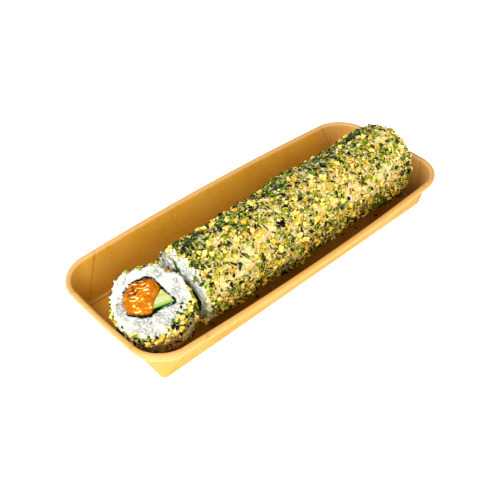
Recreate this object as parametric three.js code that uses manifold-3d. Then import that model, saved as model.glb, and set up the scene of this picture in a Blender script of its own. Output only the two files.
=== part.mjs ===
// A spicy salmon roll in an open paper tray. The long inside-out roll has rice on the outside,
// coated with crumbs, flakes and rings of spring onion, and a sheet of nori round a filling of
// chopped salmon and a wedge of cucumber. One slice is cut from it and lies face up in the
// tray, leaning on the roll's cut end.
//
// Millimetres, +Z up. The origin is on the underside of the tray, at its middle. The tray's
// long side runs along X, and the slice lies at the -X end.

import * as THREE from 'three';
import { mergeVertices } from 'three/addons/utils/BufferGeometryUtils.js';
import Module from 'manifold-3d';

const wasm = await Module();
wasm.setup();

const DEGREE = Math.PI / 180;

// Tray: the inner face of the wall, from the floor up to the rim
const TRAY_HEIGHT = 25.7;
const BOARD = 0.6;
const RIM_LOOP = { halfLength: 115, halfWidth: 43.1, corner: 16.4, longBow: 4.2, shortBow: 1.8 };
const FLOOR_LOOP = { halfLength: 107.3, halfWidth: 36.4, corner: 2, longBow: 0, shortBow: 0 };

// The rolled rim's section: outward from the wall's inner face, and down from the tray's top
const RIM_OUTSIDE = [[0, 1.3], [0.4, 0.4], [1.3, 0], [2.4, 0.1], [3.3, 0.9], [3.6, 2.3], [3.3, 4.8]];
const RIM_UNDERSIDE = [[2.7, 4.8], [3.0, 2.3], [2.4, 0.9], [1.4, 0.7], [0.6, 2.3]];

const CORNER_STEPS = 9;
const LONG_SIDE_STEPS = 12;
const SHORT_SIDE_STEPS = 6;

// The roll and the slice cut from it
const ROLL_RADIUS = 22.2;
const ROLL_LENGTH = 179;
const ROLL_AXIS_HEIGHT = 24.4;
const ROLL_CUT_X = -71.5;
const ROLL_CUT_Y = -11.1;
const ROLL_TURN = 1.05;
const FAR_END_ROUNDING = 12;
const SLICE_RADIUS = 20.9;
const SLICE_THICKNESS = 25;
const SLICE_BASE = new THREE.Vector3(-88.6, -6.2, 10.4);
const SLICE_TILT = 26;
const SLICE_TURN = -133.5;
const CUT_EDGE_DEPTH = 8;
const CUT_EDGE_PINCH = 0.9;
const PIECE_GAP = 0.35;

// The slice's edge is worn off where it is turned to the tray's near side, and uneven all round
const EDGE_WEAR = { depth: 4.5, angle: -38, reach: 34 };
const EDGE_LUMPS = [
  { angle: 141, height: 1.3, reach: 9 },
  { angle: 104, height: -1.0, reach: 7 },
  { angle: 84, height: 1.3, reach: 6 },
  { angle: 65, height: -1.0, reach: 6 },
  { angle: 42, height: 1.6, reach: 9 },
  { angle: 9, height: 1.3, reach: 6 },
  { angle: -120, height: -0.9, reach: 26 },
];

// Low down the slice bulges where it rests, beside the roll
const FOOT_BULGE = { height: 2.6, angle: -20, reach: 32, start: 4, full: 20 };

// The filling, measured on the slice's cut face: u to the right and v up, from the middle of
// the rice. In the long roll it lies lower and further to the left.
const ROLL_FILLING_SHIFT = [-3.5, -4.5, 0];
const NORI_THICKNESS = 0.6;
const FILLING_STOP = 16;
const SALMON_OUTLINE = [
  [-13.0, 1.6], [-11.2, 7.6], [-5.8, 11.2], [0.0, 12.2], [3.8, 7.8],
  [2.4, 2.0], [1.4, -5.6], [-4.4, -6.8], [-10.6, -5.2],
];
const CUCUMBER_OUTLINE = [
  [12.7, 0.5], [9.0, 3.6], [4.9, 5.6], [3.5, 2.4], [2.7, -3.5], [5.9, -2.5], [9.6, -0.9],
];
const NORI_OUTLINE = [
  [-13.8, 1.6], [-11.9, 8.2], [-6.2, 12.0], [0.4, 13.1], [4.9, 8.8], [8.8, 5.0], [13.9, 0.6],
  [8.8, -2.6], [2.9, -4.9], [1.2, -6.9], [-4.6, -7.7], [-11.3, -6.0],
];
const SALMON_STANDS_PROUD = 0.5;
const CUCUMBER_STANDS_PROUD = 0.3;

// Rice and coating
const GRAIN_RELIEF = 0.6;
const AROUND = 38;
const RING_SPACING = 4.6;
const CRUMB = { smallest: 1.4, largest: 2.3 };
const FLAKE = { length: 4.6, width: 2.3, thickness: 0.8 };
const ONION_RING = { radius: 1.8, wall: 0.8 };
const ROLL_PIECES = 100;
const SLICE_PIECES = 28;
const ONE_RING_IN = 13;
const ONE_FLAKE_IN = 3;

// How far the middle of a coating piece stays from the tray and from the other piece's cut
const CLEAR_OF_FLOOR = 4.2;
const CLEAR_OF_WALL = 3.2;
const CLEAR_OF_CUT = 4.5;

// Where the long roll is thicker or thinner: millimetres from the cut, and the angle on the
// cut face from u towards v
const SWELLINGS = [
  { along: 30, angle: 140, height: -1.2, reach: 26 },
  { along: 94, angle: 140, height: 2.0, reach: 13 },
  { along: 154, angle: 140, height: 1.3, reach: 12 },
  { along: 6, angle: -40, height: -0.9, reach: 9 },
  { along: 44, angle: -40, height: -1.1, reach: 7 },
  { along: 68, angle: -40, height: 2.1, reach: 9 },
  { along: 120, angle: -40, height: -0.6, reach: 14 },
  { along: 156, angle: -40, height: 1.8, reach: 7 },
  { along: 168, angle: 75, height: 1.5, reach: 10 },
];
const SWELLING_ANGLE = 50;

// Finishes
const FINISHES = {
  kraft: { color: 0xc98f3c, roughness: 0.7, metalness: 0 },
  rice: { color: 0xe9dfc8, roughness: 0.5, metalness: 0 },
  nori: { color: 0x1a2016, roughness: 0.55, metalness: 0 },
  salmon: { color: 0xe07a22, roughness: 0.3, metalness: 0 },
  cucumber: { color: 0xc6d48c, roughness: 0.35, metalness: 0 },
};

function seededRandom(seed) {
  let state = seed;
  return () => {
    state = (state + 0x6d2b79f5) | 0;
    let bits = Math.imul(state ^ (state >>> 15), 1 | state);
    bits = (bits + Math.imul(bits ^ (bits >>> 7), 61 | bits)) ^ bits;
    return ((bits ^ (bits >>> 14)) >>> 0) / 4294967296;
  };
}

// The same shape with nothing but its corners, each of them once
function cornersOnly(geometry) {
  const bare = geometry.clone();
  bare.deleteAttribute('normal');
  bare.deleteAttribute('uv');
  return mergeVertices(bare);
}

// A closed solid from any closed geometry: slivers left out and the faces turned outwards
function solidFrom(geometry) {
  const merged = cornersOnly(geometry);
  const corners = merged.getAttribute('position');
  const index = merged.getIndex().array;
  const a = new THREE.Vector3();
  const b = new THREE.Vector3();
  const c = new THREE.Vector3();
  const triangles = [];
  let volume = 0;
  for (let i = 0; i < index.length; i += 3) {
    const [p, q, r] = [index[i], index[i + 1], index[i + 2]];
    if (p === q || q === r || r === p) continue;
    triangles.push(p, q, r);
    a.fromBufferAttribute(corners, p);
    b.fromBufferAttribute(corners, q);
    c.fromBufferAttribute(corners, r);
    volume += a.dot(b.cross(c));
  }
  if (volume < 0) triangles.reverse();
  return new wasm.Manifold(new wasm.Mesh({
    numProp: 3,
    vertProperties: new Float32Array(corners.array),
    triVerts: new Uint32Array(triangles),
  }));
}

function namedMesh(name, solid, finish) {
  const { vertProperties, triVerts } = solid.getMesh();
  const geometry = new THREE.BufferGeometry();
  geometry.setAttribute('position', new THREE.BufferAttribute(vertProperties, 3));
  geometry.setIndex(new THREE.BufferAttribute(triVerts, 1));
  geometry.computeVertexNormals();
  const mesh = new THREE.Mesh(geometry, new THREE.MeshStandardMaterial(FINISHES[finish]));
  mesh.name = name;
  return mesh;
}

// Moves every point of a turned shape: place() gets the step round the axis and the profile
// point, and gives the point's new position
function reshape(geometry, profile, place) {
  const positions = geometry.getAttribute('position');
  const steps = positions.count / profile.length - 1;
  for (let i = 0; i < positions.count; i += 1) {
    const step = Math.floor(i / profile.length) % steps;
    const point = place(step, i % profile.length);
    positions.setXYZ(i, point.x, point.y, point.z);
  }
  return geometry;
}

// Falls smoothly from 1 at the cut face to 0 at the given depth
function nearCut(along, depth) {
  return 1 - THREE.MathUtils.smoothstep(along, 0, depth);
}

// Keeps a value above a floor with a soft bend of the given size in place of a hard stop
function softFloor(value, floor, bend) {
  return Math.max(value, floor) + bend * Math.log1p(Math.exp(-Math.abs(value - floor) / bend));
}

// Tray

function unitVector(angle) {
  return new THREE.Vector2(Math.cos(angle * DEGREE), Math.sin(angle * DEGREE));
}

// The wall's inner face at one height, between the floor's outline and the rim's
function trayLoopSize(height) {
  const share = THREE.MathUtils.clamp((height - BOARD) / (TRAY_HEIGHT - BOARD), 0, 1);
  const size = {};
  for (const key of Object.keys(RIM_LOOP)) {
    size[key] = THREE.MathUtils.lerp(FLOOR_LOOP[key], RIM_LOOP[key], share);
  }
  return size;
}

// The rounded rectangle of one height: sides that bow outwards, corners of true arcs
function trayLoop(height, outward) {
  const size = trayLoopSize(height);
  const halfLength = size.halfLength + outward;
  const halfWidth = size.halfWidth + outward;
  const corner = size.corner + outward;
  const corners = [[1, 1], [-1, 1], [-1, -1], [1, -1]].map(
    ([sideX, sideY]) => new THREE.Vector2(sideX * (halfLength - corner), sideY * (halfWidth - corner)),
  );
  const points = [];
  corners.forEach((centre, turn) => {
    for (let k = 0; k <= CORNER_STEPS; k += 1) {
      points.push(centre.clone().addScaledVector(unitVector(turn * 90 + (k / CORNER_STEPS) * 90), corner));
    }
    const sideSteps = turn % 2 === 0 ? LONG_SIDE_STEPS : SHORT_SIDE_STEPS;
    const start = points[points.length - 1];
    const end = corners[(turn + 1) % 4].clone().addScaledVector(unitVector((turn + 1) * 90), corner);
    for (let k = 1; k < sideSteps; k += 1) {
      points.push(start.clone().lerp(end, k / sideSteps));
    }
  });
  return points.map(({ x, y }) => {
    const along = Math.min(Math.abs(x) / halfLength, 1);
    const across = Math.min(Math.abs(y) / halfWidth, 1);
    return new THREE.Vector2(
      x + Math.sign(x) * along ** 2 * size.shortBow * (1 - across ** 2),
      y + Math.sign(y) * across ** 2 * size.longBow * (1 - along ** 2),
    );
  });
}

// How far a point inside the tray is from the nearest wall
function wallDistance(point) {
  const { halfLength, halfWidth, corner } = trayLoopSize(point.z);
  const overX = Math.abs(point.x) - (halfLength - corner);
  const overY = Math.abs(point.y) - (halfWidth - corner);
  if (overX > 0 && overY > 0) return corner - Math.hypot(overX, overY);
  return corner - Math.max(overX, overY);
}

// The section is turned round the tray: over the floor, up the wall, over the rim, down the
// outside and back under the floor. The floor's middle closes both ends.
function tray() {
  const rim = [...RIM_OUTSIDE, ...RIM_UNDERSIDE];
  const profile = [
    { middle: true, z: BOARD },
    { outward: 0, z: BOARD },
    ...rim.map(([outward, down]) => ({ outward, z: TRAY_HEIGHT - down })),
    { outward: BOARD, z: 0 },
    { middle: true, z: 0 },
  ];
  const loops = profile.map(({ middle, outward, z }) => (middle ? null : trayLoop(z, outward)));
  const steps = 4 * CORNER_STEPS + 2 * LONG_SIDE_STEPS + 2 * SHORT_SIDE_STEPS;
  const template = profile.map(({ middle, z }, k) => new THREE.Vector2(middle ? 0 : k + 1, z));
  const bowl = reshape(new THREE.LatheGeometry(template, steps), profile, (step, k) => {
    if (!loops[k]) return new THREE.Vector3(0, 0, profile[k].z);
    return new THREE.Vector3(loops[k][step].x, loops[k][step].y, profile[k].z);
  });
  return namedMesh('tray', solidFrom(bowl), 'kraft');
}

// Roll and slice

// A group whose own XY plane is the cut face, u along X and v along Y, and whose Z points out
// of the cut. tilt is the angle of that Z from straight up, and turn the way it leans.
function faceGroup(centre, tilt, turn) {
  const outward = new THREE.Vector3(
    Math.sin(tilt * DEGREE) * Math.cos(turn * DEGREE),
    Math.sin(tilt * DEGREE) * Math.sin(turn * DEGREE),
    Math.cos(tilt * DEGREE),
  );
  const right = new THREE.Vector3(-Math.sin(turn * DEGREE), Math.cos(turn * DEGREE), 0);
  const up = new THREE.Vector3().crossVectors(outward, right);
  const group = new THREE.Group();
  group.quaternion.setFromRotationMatrix(new THREE.Matrix4().makeBasis(right, up, outward));
  group.position.copy(centre);
  group.updateMatrix();
  return group;
}

// Moves a point of the group where move() takes it in the tray's frame
function inTray(group, point, move) {
  const placed = point.clone().applyMatrix4(group.matrix);
  move(placed);
  return placed.applyMatrix4(group.matrix.clone().invert());
}

function angleBetween(a, b) {
  const turn = (((a - b) % 360) + 540) % 360;
  return Math.abs(turn - 180);
}

function rollRadius(angle, along) {
  let radius = ROLL_RADIUS * (1 + 0.05 * Math.max(0, -Math.sin(angle * DEGREE)) ** 2);
  radius -= CUT_EDGE_PINCH * nearCut(along, CUT_EDGE_DEPTH);
  for (const swelling of SWELLINGS) {
    const aside = angleBetween(angle, swelling.angle) / SWELLING_ANGLE;
    const ahead = (along - swelling.along) / swelling.reach;
    radius += swelling.height * Math.exp(-(aside ** 2) - ahead ** 2);
  }
  return radius;
}

// The height of a lump at an angle round the face
function lumpHeight(lump, angle) {
  return lump.height * Math.exp(-((angleBetween(angle, lump.angle) / lump.reach) ** 2));
}

function sliceRadius(angle, along) {
  const lobes = 0.5 * Math.sin(3 * angle * DEGREE + 1) + 0.35 * Math.sin(5 * angle * DEGREE);
  let atCut = -CUT_EDGE_PINCH;
  for (const lump of EDGE_LUMPS) atCut += lumpHeight(lump, angle);
  const foot = THREE.MathUtils.smoothstep(along, FOOT_BULGE.start, FOOT_BULGE.full);
  return SLICE_RADIUS + lobes + atCut * nearCut(along, CUT_EDGE_DEPTH) + lumpHeight(FOOT_BULGE, angle) * foot;
}

function sliceEdgeWear(angle) {
  return EDGE_WEAR.depth * Math.exp(-((angleBetween(angle, EDGE_WEAR.angle) / EDGE_WEAR.reach) ** 2));
}

function pressRoll(placed) {
  placed.z = softFloor(placed.z, BOARD + PIECE_GAP, 0.4);
}

// The slice is squeezed a little between the roll's cut and the tray's end wall
function pressSlice(placed) {
  placed.x = -softFloor(-placed.x, -(ROLL_CUT_X - GRAIN_RELIEF - 2 * PIECE_GAP), 0.5);
  placed.x = softFloor(placed.x, PIECE_GAP - trayLoopSize(placed.z).halfLength, 0.5);
  placed.z = softFloor(placed.z, BOARD + PIECE_GAP, 0.3);
}

// A rice body as a turned shape. The profile runs from the middle of the cut, over its edge,
// along the side and back to the middle of the other end.
function riceBody(group, profile, radiusAt, wearAt, press, seed) {
  const random = seededRandom(seed);
  const relief = profile.map(() => Array.from({ length: AROUND }, () => random() - 0.5));
  const template = profile.map(({ share, along }, k) => {
    const onAxis = k === 0 || k === profile.length - 1;
    return new THREE.Vector2(onAxis ? 0 : share, -along);
  });
  const body = new THREE.LatheGeometry(template, AROUND);
  return reshape(body, profile, (step, k) => {
    const { share, along, face } = profile[k];
    const angle = (step / AROUND) * 360;
    const grain = share === 0 ? 0 : 2 * GRAIN_RELIEF * relief[k][step];
    const radius = share * radiusAt(angle, along) + (face ? 0 : grain);
    const toEdge = THREE.MathUtils.smoothstep(share, 0.62, 1);
    const depth = along + wearAt(angle) * toEdge ** 2 * nearCut(along, CUT_EDGE_DEPTH);
    const point = new THREE.Vector3(
      radius * Math.cos(angle * DEGREE),
      radius * Math.sin(angle * DEGREE),
      -depth + (face ? grain : 0),
    );
    return inTray(group, point, press);
  });
}

function cutFace(shares, along) {
  return shares.map((share) => ({ share, along, face: true }));
}

function rollProfile() {
  const profile = [...cutFace([0, 0.45, 0.6, 0.74, 0.87], 0), { share: 0.965, along: 0.5 }];
  const roundingStart = ROLL_LENGTH - FAR_END_ROUNDING;
  const rings = Math.round((roundingStart - 2) / RING_SPACING);
  for (let k = 0; k <= rings; k += 1) {
    profile.push({ share: 1, along: 2 + (k / rings) * (roundingStart - 2) });
  }
  for (const turn of [24, 44, 62, 76]) {
    profile.push({
      share: 0.42 + 0.58 * Math.cos(turn * DEGREE),
      along: roundingStart + FAR_END_ROUNDING * Math.sin(turn * DEGREE),
    });
  }
  profile.push({ share: 0.28, along: ROLL_LENGTH }, { share: 0, along: ROLL_LENGTH });
  return profile;
}

function sliceProfile() {
  const profile = [...cutFace([0, 0.45, 0.6, 0.73, 0.85, 0.94], 0), { share: 0.99, along: 0.8 }];
  const rings = 5;
  for (let k = 0; k <= rings; k += 1) {
    profile.push({ share: 1, along: 2.4 + (k / rings) * (SLICE_THICKNESS - 4.4) });
  }
  profile.push({ share: 0.965, along: SLICE_THICKNESS - 0.5 });
  profile.push(...cutFace([0.84, 0.66, 0.5, 0], SLICE_THICKNESS));
  return profile;
}

// Coating pieces, each sunk part of the way into the rice

function crumb(random) {
  const size = THREE.MathUtils.lerp(CRUMB.smallest, CRUMB.largest, random() ** 1.5);
  const lump = cornersOnly(new THREE.IcosahedronGeometry(size, 0));
  const corners = lump.getAttribute('position');
  for (let i = 0; i < corners.count; i += 1) {
    const pull = 0.8 + 0.4 * random();
    corners.setXYZ(i, corners.getX(i) * pull, corners.getY(i) * pull, corners.getZ(i) * pull);
  }
  return { geometry: lump.scale(1.1, 0.9, 0.8), stands: 0.35 * size };
}

function flake(random) {
  const size = 0.8 + 0.4 * random();
  const plate = new THREE.CylinderGeometry(0.5, 0.5, FLAKE.thickness, 5);
  plate.scale(FLAKE.length * size, 1, FLAKE.width * size);
  plate.rotateX(90 * DEGREE).rotateY((12 + 18 * random()) * DEGREE);
  return { geometry: plate, stands: 0.3 };
}

function onionRing(random) {
  const ring = new THREE.TorusGeometry(ONION_RING.radius, ONION_RING.wall, 4, 7);
  ring.rotateX((random() - 0.5) * 50 * DEGREE);
  return { geometry: ring, stands: 0.35 };
}

function coatingPiece(k, random) {
  if (k % ONE_RING_IN === 0) return onionRing(random);
  return k % ONE_FLAKE_IN === 0 ? flake(random) : crumb(random);
}

// Spreads the pieces evenly over a body: by the golden section along it, and round it by steps
// that share no rhythm with that
function coat(solid, group, radiusAt, { pieces, start, end, seed, clear }) {
  const random = seededRandom(seed);
  const goldenSection = (Math.sqrt(5) - 1) / 2;
  const stepRound = 233.8;
  const scatter = { along: 0.08, angle: 14 };
  let coated = solid;
  for (let k = 0; k < pieces; k += 1) {
    const { geometry, stands } = coatingPiece(k, random);
    const share = (k * goldenSection + scatter.along * random()) % 1;
    const along = THREE.MathUtils.lerp(start, end, share);
    const angle = k * stepRound + scatter.angle * random();
    const radius = radiusAt(angle, along) + stands;
    const turn = random() * 360 * DEGREE;
    const centre = new THREE.Vector3(
      radius * Math.cos(angle * DEGREE),
      radius * Math.sin(angle * DEGREE),
      -along,
    );
    if (!clear(centre.clone().applyMatrix4(group.matrix))) continue;
    geometry.rotateZ(turn).rotateY(90 * DEGREE).rotateZ(angle * DEGREE);
    geometry.translate(centre.x, centre.y, centre.z);
    coated = coated.add(solidFrom(geometry));
  }
  return coated;
}

function clearOfTray(placed) {
  return placed.z > BOARD + CLEAR_OF_FLOOR && wallDistance(placed) > CLEAR_OF_WALL;
}

function clearOfTrayAndRoll(placed) {
  return clearOfTray(placed) && placed.x < ROLL_CUT_X - CLEAR_OF_CUT;
}

// Filling

function smoothOutline(points) {
  const curve = new THREE.CatmullRomCurve3(
    points.map(([u, v]) => new THREE.Vector3(u, v, 0)),
    true,
    'centripetal',
  );
  return curve.getPoints(points.length * 3).slice(0, -1).map(({ x, y }) => new THREE.Vector2(x, y));
}

// The outline moved outwards along its own normals
function grownOutline(points, distance) {
  return points.map((point, k) => {
    const before = points[(k + points.length - 1) % points.length];
    const after = points[(k + 1) % points.length];
    const along = after.clone().sub(before).normalize();
    const outward = new THREE.Vector2(-along.y, along.x).multiplyScalar(distance);
    return point.clone().add(outward);
  });
}

function strand(outline, length, options = {}) {
  const shape = new THREE.Shape(outline);
  if (options.hole) shape.holes.push(new THREE.Path([...options.hole].reverse()));
  const proud = options.proud ?? 0;
  const geometry = new THREE.ExtrudeGeometry(shape, {
    depth: length - proud,
    bevelEnabled: proud > 0,
    bevelThickness: proud,
    bevelSize: proud,
    bevelOffset: -proud,
    bevelSegments: 1,
  });
  return solidFrom(geometry.translate(0, 0, proud - length - (options.below ?? 0)));
}

const noriInner = smoothOutline(NORI_OUTLINE);
const noriOuter = grownOutline(noriInner, NORI_THICKNESS);
const bore = grownOutline(noriInner, NORI_THICKNESS + PIECE_GAP);

function filling(prefix, length, shift) {
  const salmon = strand(smoothOutline(SALMON_OUTLINE), length, { proud: SALMON_STANDS_PROUD });
  const cucumber = strand(smoothOutline(CUCUMBER_OUTLINE), length, { proud: CUCUMBER_STANDS_PROUD });
  const nori = strand(noriOuter, length, { hole: noriInner });
  return [
    namedMesh(`${prefix}_nori`, nori.translate(shift), 'nori'),
    namedMesh(`${prefix}_salmon`, salmon.translate(shift), 'salmon'),
    namedMesh(`${prefix}_cucumber`, cucumber.translate(shift), 'cucumber'),
  ];
}

function longRoll() {
  const group = faceGroup(new THREE.Vector3(ROLL_CUT_X, ROLL_CUT_Y, ROLL_AXIS_HEIGHT), 90, 180 + ROLL_TURN);
  const body = riceBody(group, rollProfile(), rollRadius, () => 0, pressRoll, 11);
  const boreLength = ROLL_LENGTH - FILLING_STOP;
  const channel = strand(bore, boreLength + 3, { below: -3 }).translate(ROLL_FILLING_SHIFT);
  const hollow = solidFrom(body).subtract(channel);
  const rice = coat(hollow, group, rollRadius, {
    pieces: ROLL_PIECES, start: 3, end: ROLL_LENGTH - 9, seed: 23, clear: clearOfTray,
  });
  group.add(namedMesh('roll_rice', rice, 'rice'));
  group.add(...filling('roll', boreLength - PIECE_GAP, ROLL_FILLING_SHIFT));
  return group;
}

function slice() {
  const group = faceGroup(SLICE_BASE, SLICE_TILT, SLICE_TURN);
  group.translateZ(SLICE_THICKNESS);
  group.updateMatrix();
  const body = riceBody(group, sliceProfile(), sliceRadius, sliceEdgeWear, pressSlice, 37);
  const through = strand(bore, SLICE_THICKNESS + 6, { below: -3 });
  const rice = coat(solidFrom(body).subtract(through), group, sliceRadius, {
    pieces: SLICE_PIECES, start: 3, end: SLICE_THICKNESS - 3, seed: 41, clear: clearOfTrayAndRoll,
  });
  group.add(namedMesh('slice_rice', rice, 'rice'));
  group.add(...filling('slice', SLICE_THICKNESS - 1, [0, 0, 0]));
  return group;
}

const group = new THREE.Group();
group.add(tray(), longRoll(), slice());

export default group;
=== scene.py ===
# A spicy salmon roll in an open paper tray: the long coated roll, the slice cut from it, and
# the tray. Lengths are in millimetres and angles in degrees until a mesh is made. Each piece
# of the roll is described from its cut face: u to the right, v up and w out of the cut.
import math

import bpy
import numpy as np
from mathutils import Matrix, Vector


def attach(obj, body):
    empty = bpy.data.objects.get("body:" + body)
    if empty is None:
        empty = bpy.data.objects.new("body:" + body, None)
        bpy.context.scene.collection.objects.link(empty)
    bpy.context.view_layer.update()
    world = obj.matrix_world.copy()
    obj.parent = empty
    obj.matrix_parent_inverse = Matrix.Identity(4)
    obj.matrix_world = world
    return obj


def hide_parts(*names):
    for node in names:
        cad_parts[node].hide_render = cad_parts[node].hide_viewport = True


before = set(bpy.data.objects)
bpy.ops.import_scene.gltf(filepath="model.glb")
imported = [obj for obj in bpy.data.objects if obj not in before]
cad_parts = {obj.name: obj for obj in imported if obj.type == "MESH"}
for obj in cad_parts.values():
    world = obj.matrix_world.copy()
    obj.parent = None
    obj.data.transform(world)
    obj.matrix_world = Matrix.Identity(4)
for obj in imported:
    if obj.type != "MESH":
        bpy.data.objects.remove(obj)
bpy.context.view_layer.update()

MM = 0.001
# keeps the length of an empty vector above 0
TINY = 1e-9

# Tray, with the solid's own sizes: the board's thickness, and the outline at the rim and at the
# floor
TRAY_HEIGHT = 25.7
BOARD = 0.6
RIM_LOOP = dict(half_length=115.0, half_width=43.1, corner=16.4, long_bow=4.2, short_bow=1.8)
FLOOR_LOOP = dict(half_length=107.3, half_width=36.4, corner=2.0, long_bow=0.0, short_bow=0.0)
CREASE_WIDTH = 0.45
CREASE_DEPTH = 0.25
# how far from the round corner each long side's creases cross the rim, at its two ends; they
# run down to the corner of the floor
FAR_SIDE_CREASES = (1.0, 8.0)
NEAR_SIDE_CREASES = (13.0, 4.0)
# nothing on the rice lies lower than this above the tray's floor
FLOOR_LIFT = 0.1

# Roll and slice, with the solids' own sizes
ROLL_RADIUS = 22.2
SLICE_RADIUS = 20.9
SLICE_LENGTH = 25.0
# no cut face reaches further from its middle
WIDEST = 24.0
# how much wider the roll is underneath, as a share of its radius
SAG = 0.05
# the roll's far end: where along it the rounding starts, how deep it is and how far it goes
# along the skin, what share of the radius it leaves for a flat cap, and how far along the skin
# the cap goes, as a share of the rounding's
ROUNDING_START = 167.0
ROUNDING_DEPTH = 12.0
ROUNDING_REACH = 19.5
CAP_SHARE = 0.42
CAP_REACH = 0.6
# a cut edge is pinched in a little, over this depth
CUT_EDGE_DEPTH = 8.0
CUT_EDGE_PINCH = 0.9
# the rice's distance from the tray, and how far from the tray's middle the roll's cut stops the
# slice and the seasoning on it
SKIN_GAP = 0.35
SLICE_STOP = 72.8
SEASONING_STOP = 72.6
# lumps and dents of the roll: place along it, angle, height, spread along it; all have one
# spread in angle
SWELLING_ANGLE = 50
SWELLINGS = [
    (30, 140, -1.2, 26), (94, 140, 2.0, 13), (154, 140, 1.3, 12), (6, -40, -0.9, 9),
    (44, -40, -1.1, 7), (68, -40, 2.1, 9), (120, -40, -0.6, 14), (156, -40, 1.8, 7),
    (168, 75, 1.5, 10),
]
# lumps and dents round the slice's cut edge: angle, height, spread in angle
SLICE_EDGE_LUMPS = [
    (141, 1.3, 9), (104, -1.0, 7), (84, 1.3, 6), (65, -1.0, 6), (42, 1.6, 9), (9, 1.3, 6),
    (-120, -0.9, 26),
]
# the slice swells towards its foot, most at one angle, from start to full along it
FOOT_BULGE = dict(height=2.6, angle=-20, spread=32, start=4, full=20)
# the slice's cut edge is worn down round one angle
EDGE_WEAR = dict(depth=4.5, angle=-38, spread=34)
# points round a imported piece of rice, and its rings on the cut face
BODY_COLUMNS = 110
CUT_ROWS = 13
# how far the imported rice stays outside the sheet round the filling, and how deep the hole for
# the filling is in the roll's
HOLE_GAP, HOLE_DEPTH = 0.9, 5.0
# mean and spread of a grain of rice's length and width, and how near to the tray's floor and
# wall its middle may be
GRAIN_LENGTH, GRAIN_WIDTH = (5.4, 0.6), (2.4, 0.2)
GRAIN_ABOVE_FLOOR, GRAIN_FROM_WALL = 1.5, 1.2

# Filling: outlines on the cut face as (u, v), round the filling's own middle, which lies off
# the roll's. Each strand is a little wider than its outline, so that no gap shows
ROLL_FILLING_SHIFT = (-3.5, -4.5)
ROLL_FILLING_LENGTH = 162.65
SALMON_MIDDLE, CUCUMBER_MIDDLE = (-4.8, 2.4), (6.2, 1.0)
STRAND_SWELL = 0.28
NORI_OUTLINE = [
    (-13.8, 1.6), (-11.9, 8.2), (-6.2, 12.0), (0.4, 13.1), (4.9, 8.8), (8.8, 5.0), (13.9, 0.6),
    (8.8, -2.6), (2.9, -4.9), (1.2, -6.9), (-4.6, -7.7), (-11.3, -6.0),
]
SALMON_OUTLINE = [
    (-13.5, 1.6), (-11.7, 7.5), (-8.6, 10.8), (-6.0, 11.5), (-3.0, 12.2), (0.1, 12.8),
    (2.9, 10.5), (5.0, 8.1), (4.2, 4.6), (2.6, 1.2), (2.2, -2.6), (2.0, -6.1), (-1.2, -7.2),
    (-4.5, -7.2), (-7.6, -6.6), (-10.9, -5.7), (-12.4, -2.2),
]
CUCUMBER_OUTLINE = [
    (13.1, 0.5), (11.2, 2.3), (9.4, 4.0), (7.6, 5.5), (5.8, 6.8), (4.4, 4.0), (2.8, 0.4),
    (2.4, -3.7), (5.3, -2.5), (8.0, -1.4), (11.0, -0.3),
]

# Camera, where the photo was taken from: its place in metres, the directions of its own axes,
# and the lens for a picture 36 mm wide
CAMERA_PLACE = (-0.24206, -0.24975, 0.31093)
CAMERA_RIGHT = (0.72989, -0.68350, -0.00921)
CAMERA_UP = (0.46031, 0.48151, 0.74583)
CAMERA_BACK = (-0.50534, -0.54861, 0.66607)
CAMERA_LENS, CAMERA_SENSOR = 54.21, 36.0
# the table top, in metres: half its side, and how far it lies under the tray
FLOOR_HALF, FLOOR_DROP = 3, 0.0002
# what the lights look at, and each one's name, place, width, power and colour
LIGHT_AIM = (0, 0, 0.02)
LIGHTS = [
    ("window", (-0.7, 0.15, 0.8), 0.6, 6.5, (0.98, 0.99, 1.0)),
    ("fill", (-0.4, -0.85, 0.5), 0.8, 6.5, (1.0, 0.98, 0.94)),
]


def smooth_step(value, low, high):
    """0 up to low, 1 from high on, and smooth between them"""
    share = np.clip((value - low) / (high - low), 0, 1)
    return share * share * (3 - 2 * share)


def soft_floor(value, floor, bend):
    """value, kept above floor with a soft bend"""
    return np.maximum(value, floor) + bend * np.log1p(np.exp(-np.abs(value - floor) / bend))


def unit(vectors):
    return vectors / np.linalg.norm(vectors, axis=-1, keepdims=True)


def angle_between(a, b):
    """The angle from a to b the short way round, in degrees"""
    return np.abs((a - b + 180) % 360 - 180)


def near_angle(angle, at, spread):
    """1 at one angle, falling off round about"""
    return np.exp(-(angle_between(angle, at) / spread) ** 2)


def hill(a, b):
    """1 where a and b are both 0, falling off round about"""
    return np.exp(-a ** 2 - b ** 2)


def closed_curve(points, steps=12):
    """A smooth closed line through the points"""
    points = np.array(points, float)
    before, after, beyond = np.roll(points, 1, 0), np.roll(points, -1, 0), np.roll(points, -2, 0)
    t = (np.arange(steps) / steps)[:, None, None]
    line = 0.5 * (
        2 * points + (after - before) * t + (2 * before - 5 * points + 4 * after - beyond) * t ** 2
        + (3 * points - before - 3 * after + beyond) * t ** 3
    )
    return line.transpose(1, 0, 2).reshape(-1, 2)


def outline_radius(points, centre):
    """The outline's distance from centre, as a function of the angle in degrees"""
    line = closed_curve(points) - np.array(centre)
    angles = np.degrees(np.arctan2(line[:, 1], line[:, 0])) % 360
    order = np.argsort(angles)
    angles, radii = angles[order], np.hypot(line[:, 0], line[:, 1])[order]
    return lambda angle: np.interp(np.asarray(angle) % 360, angles, radii, period=360)


def ring_of(columns):
    """Angles in degrees of points round a ring, with their cosines and sines"""
    angle = np.arange(columns) / columns * 360
    return angle, np.cos(np.radians(angle)), np.sin(np.radians(angle))


# Meshes


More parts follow.
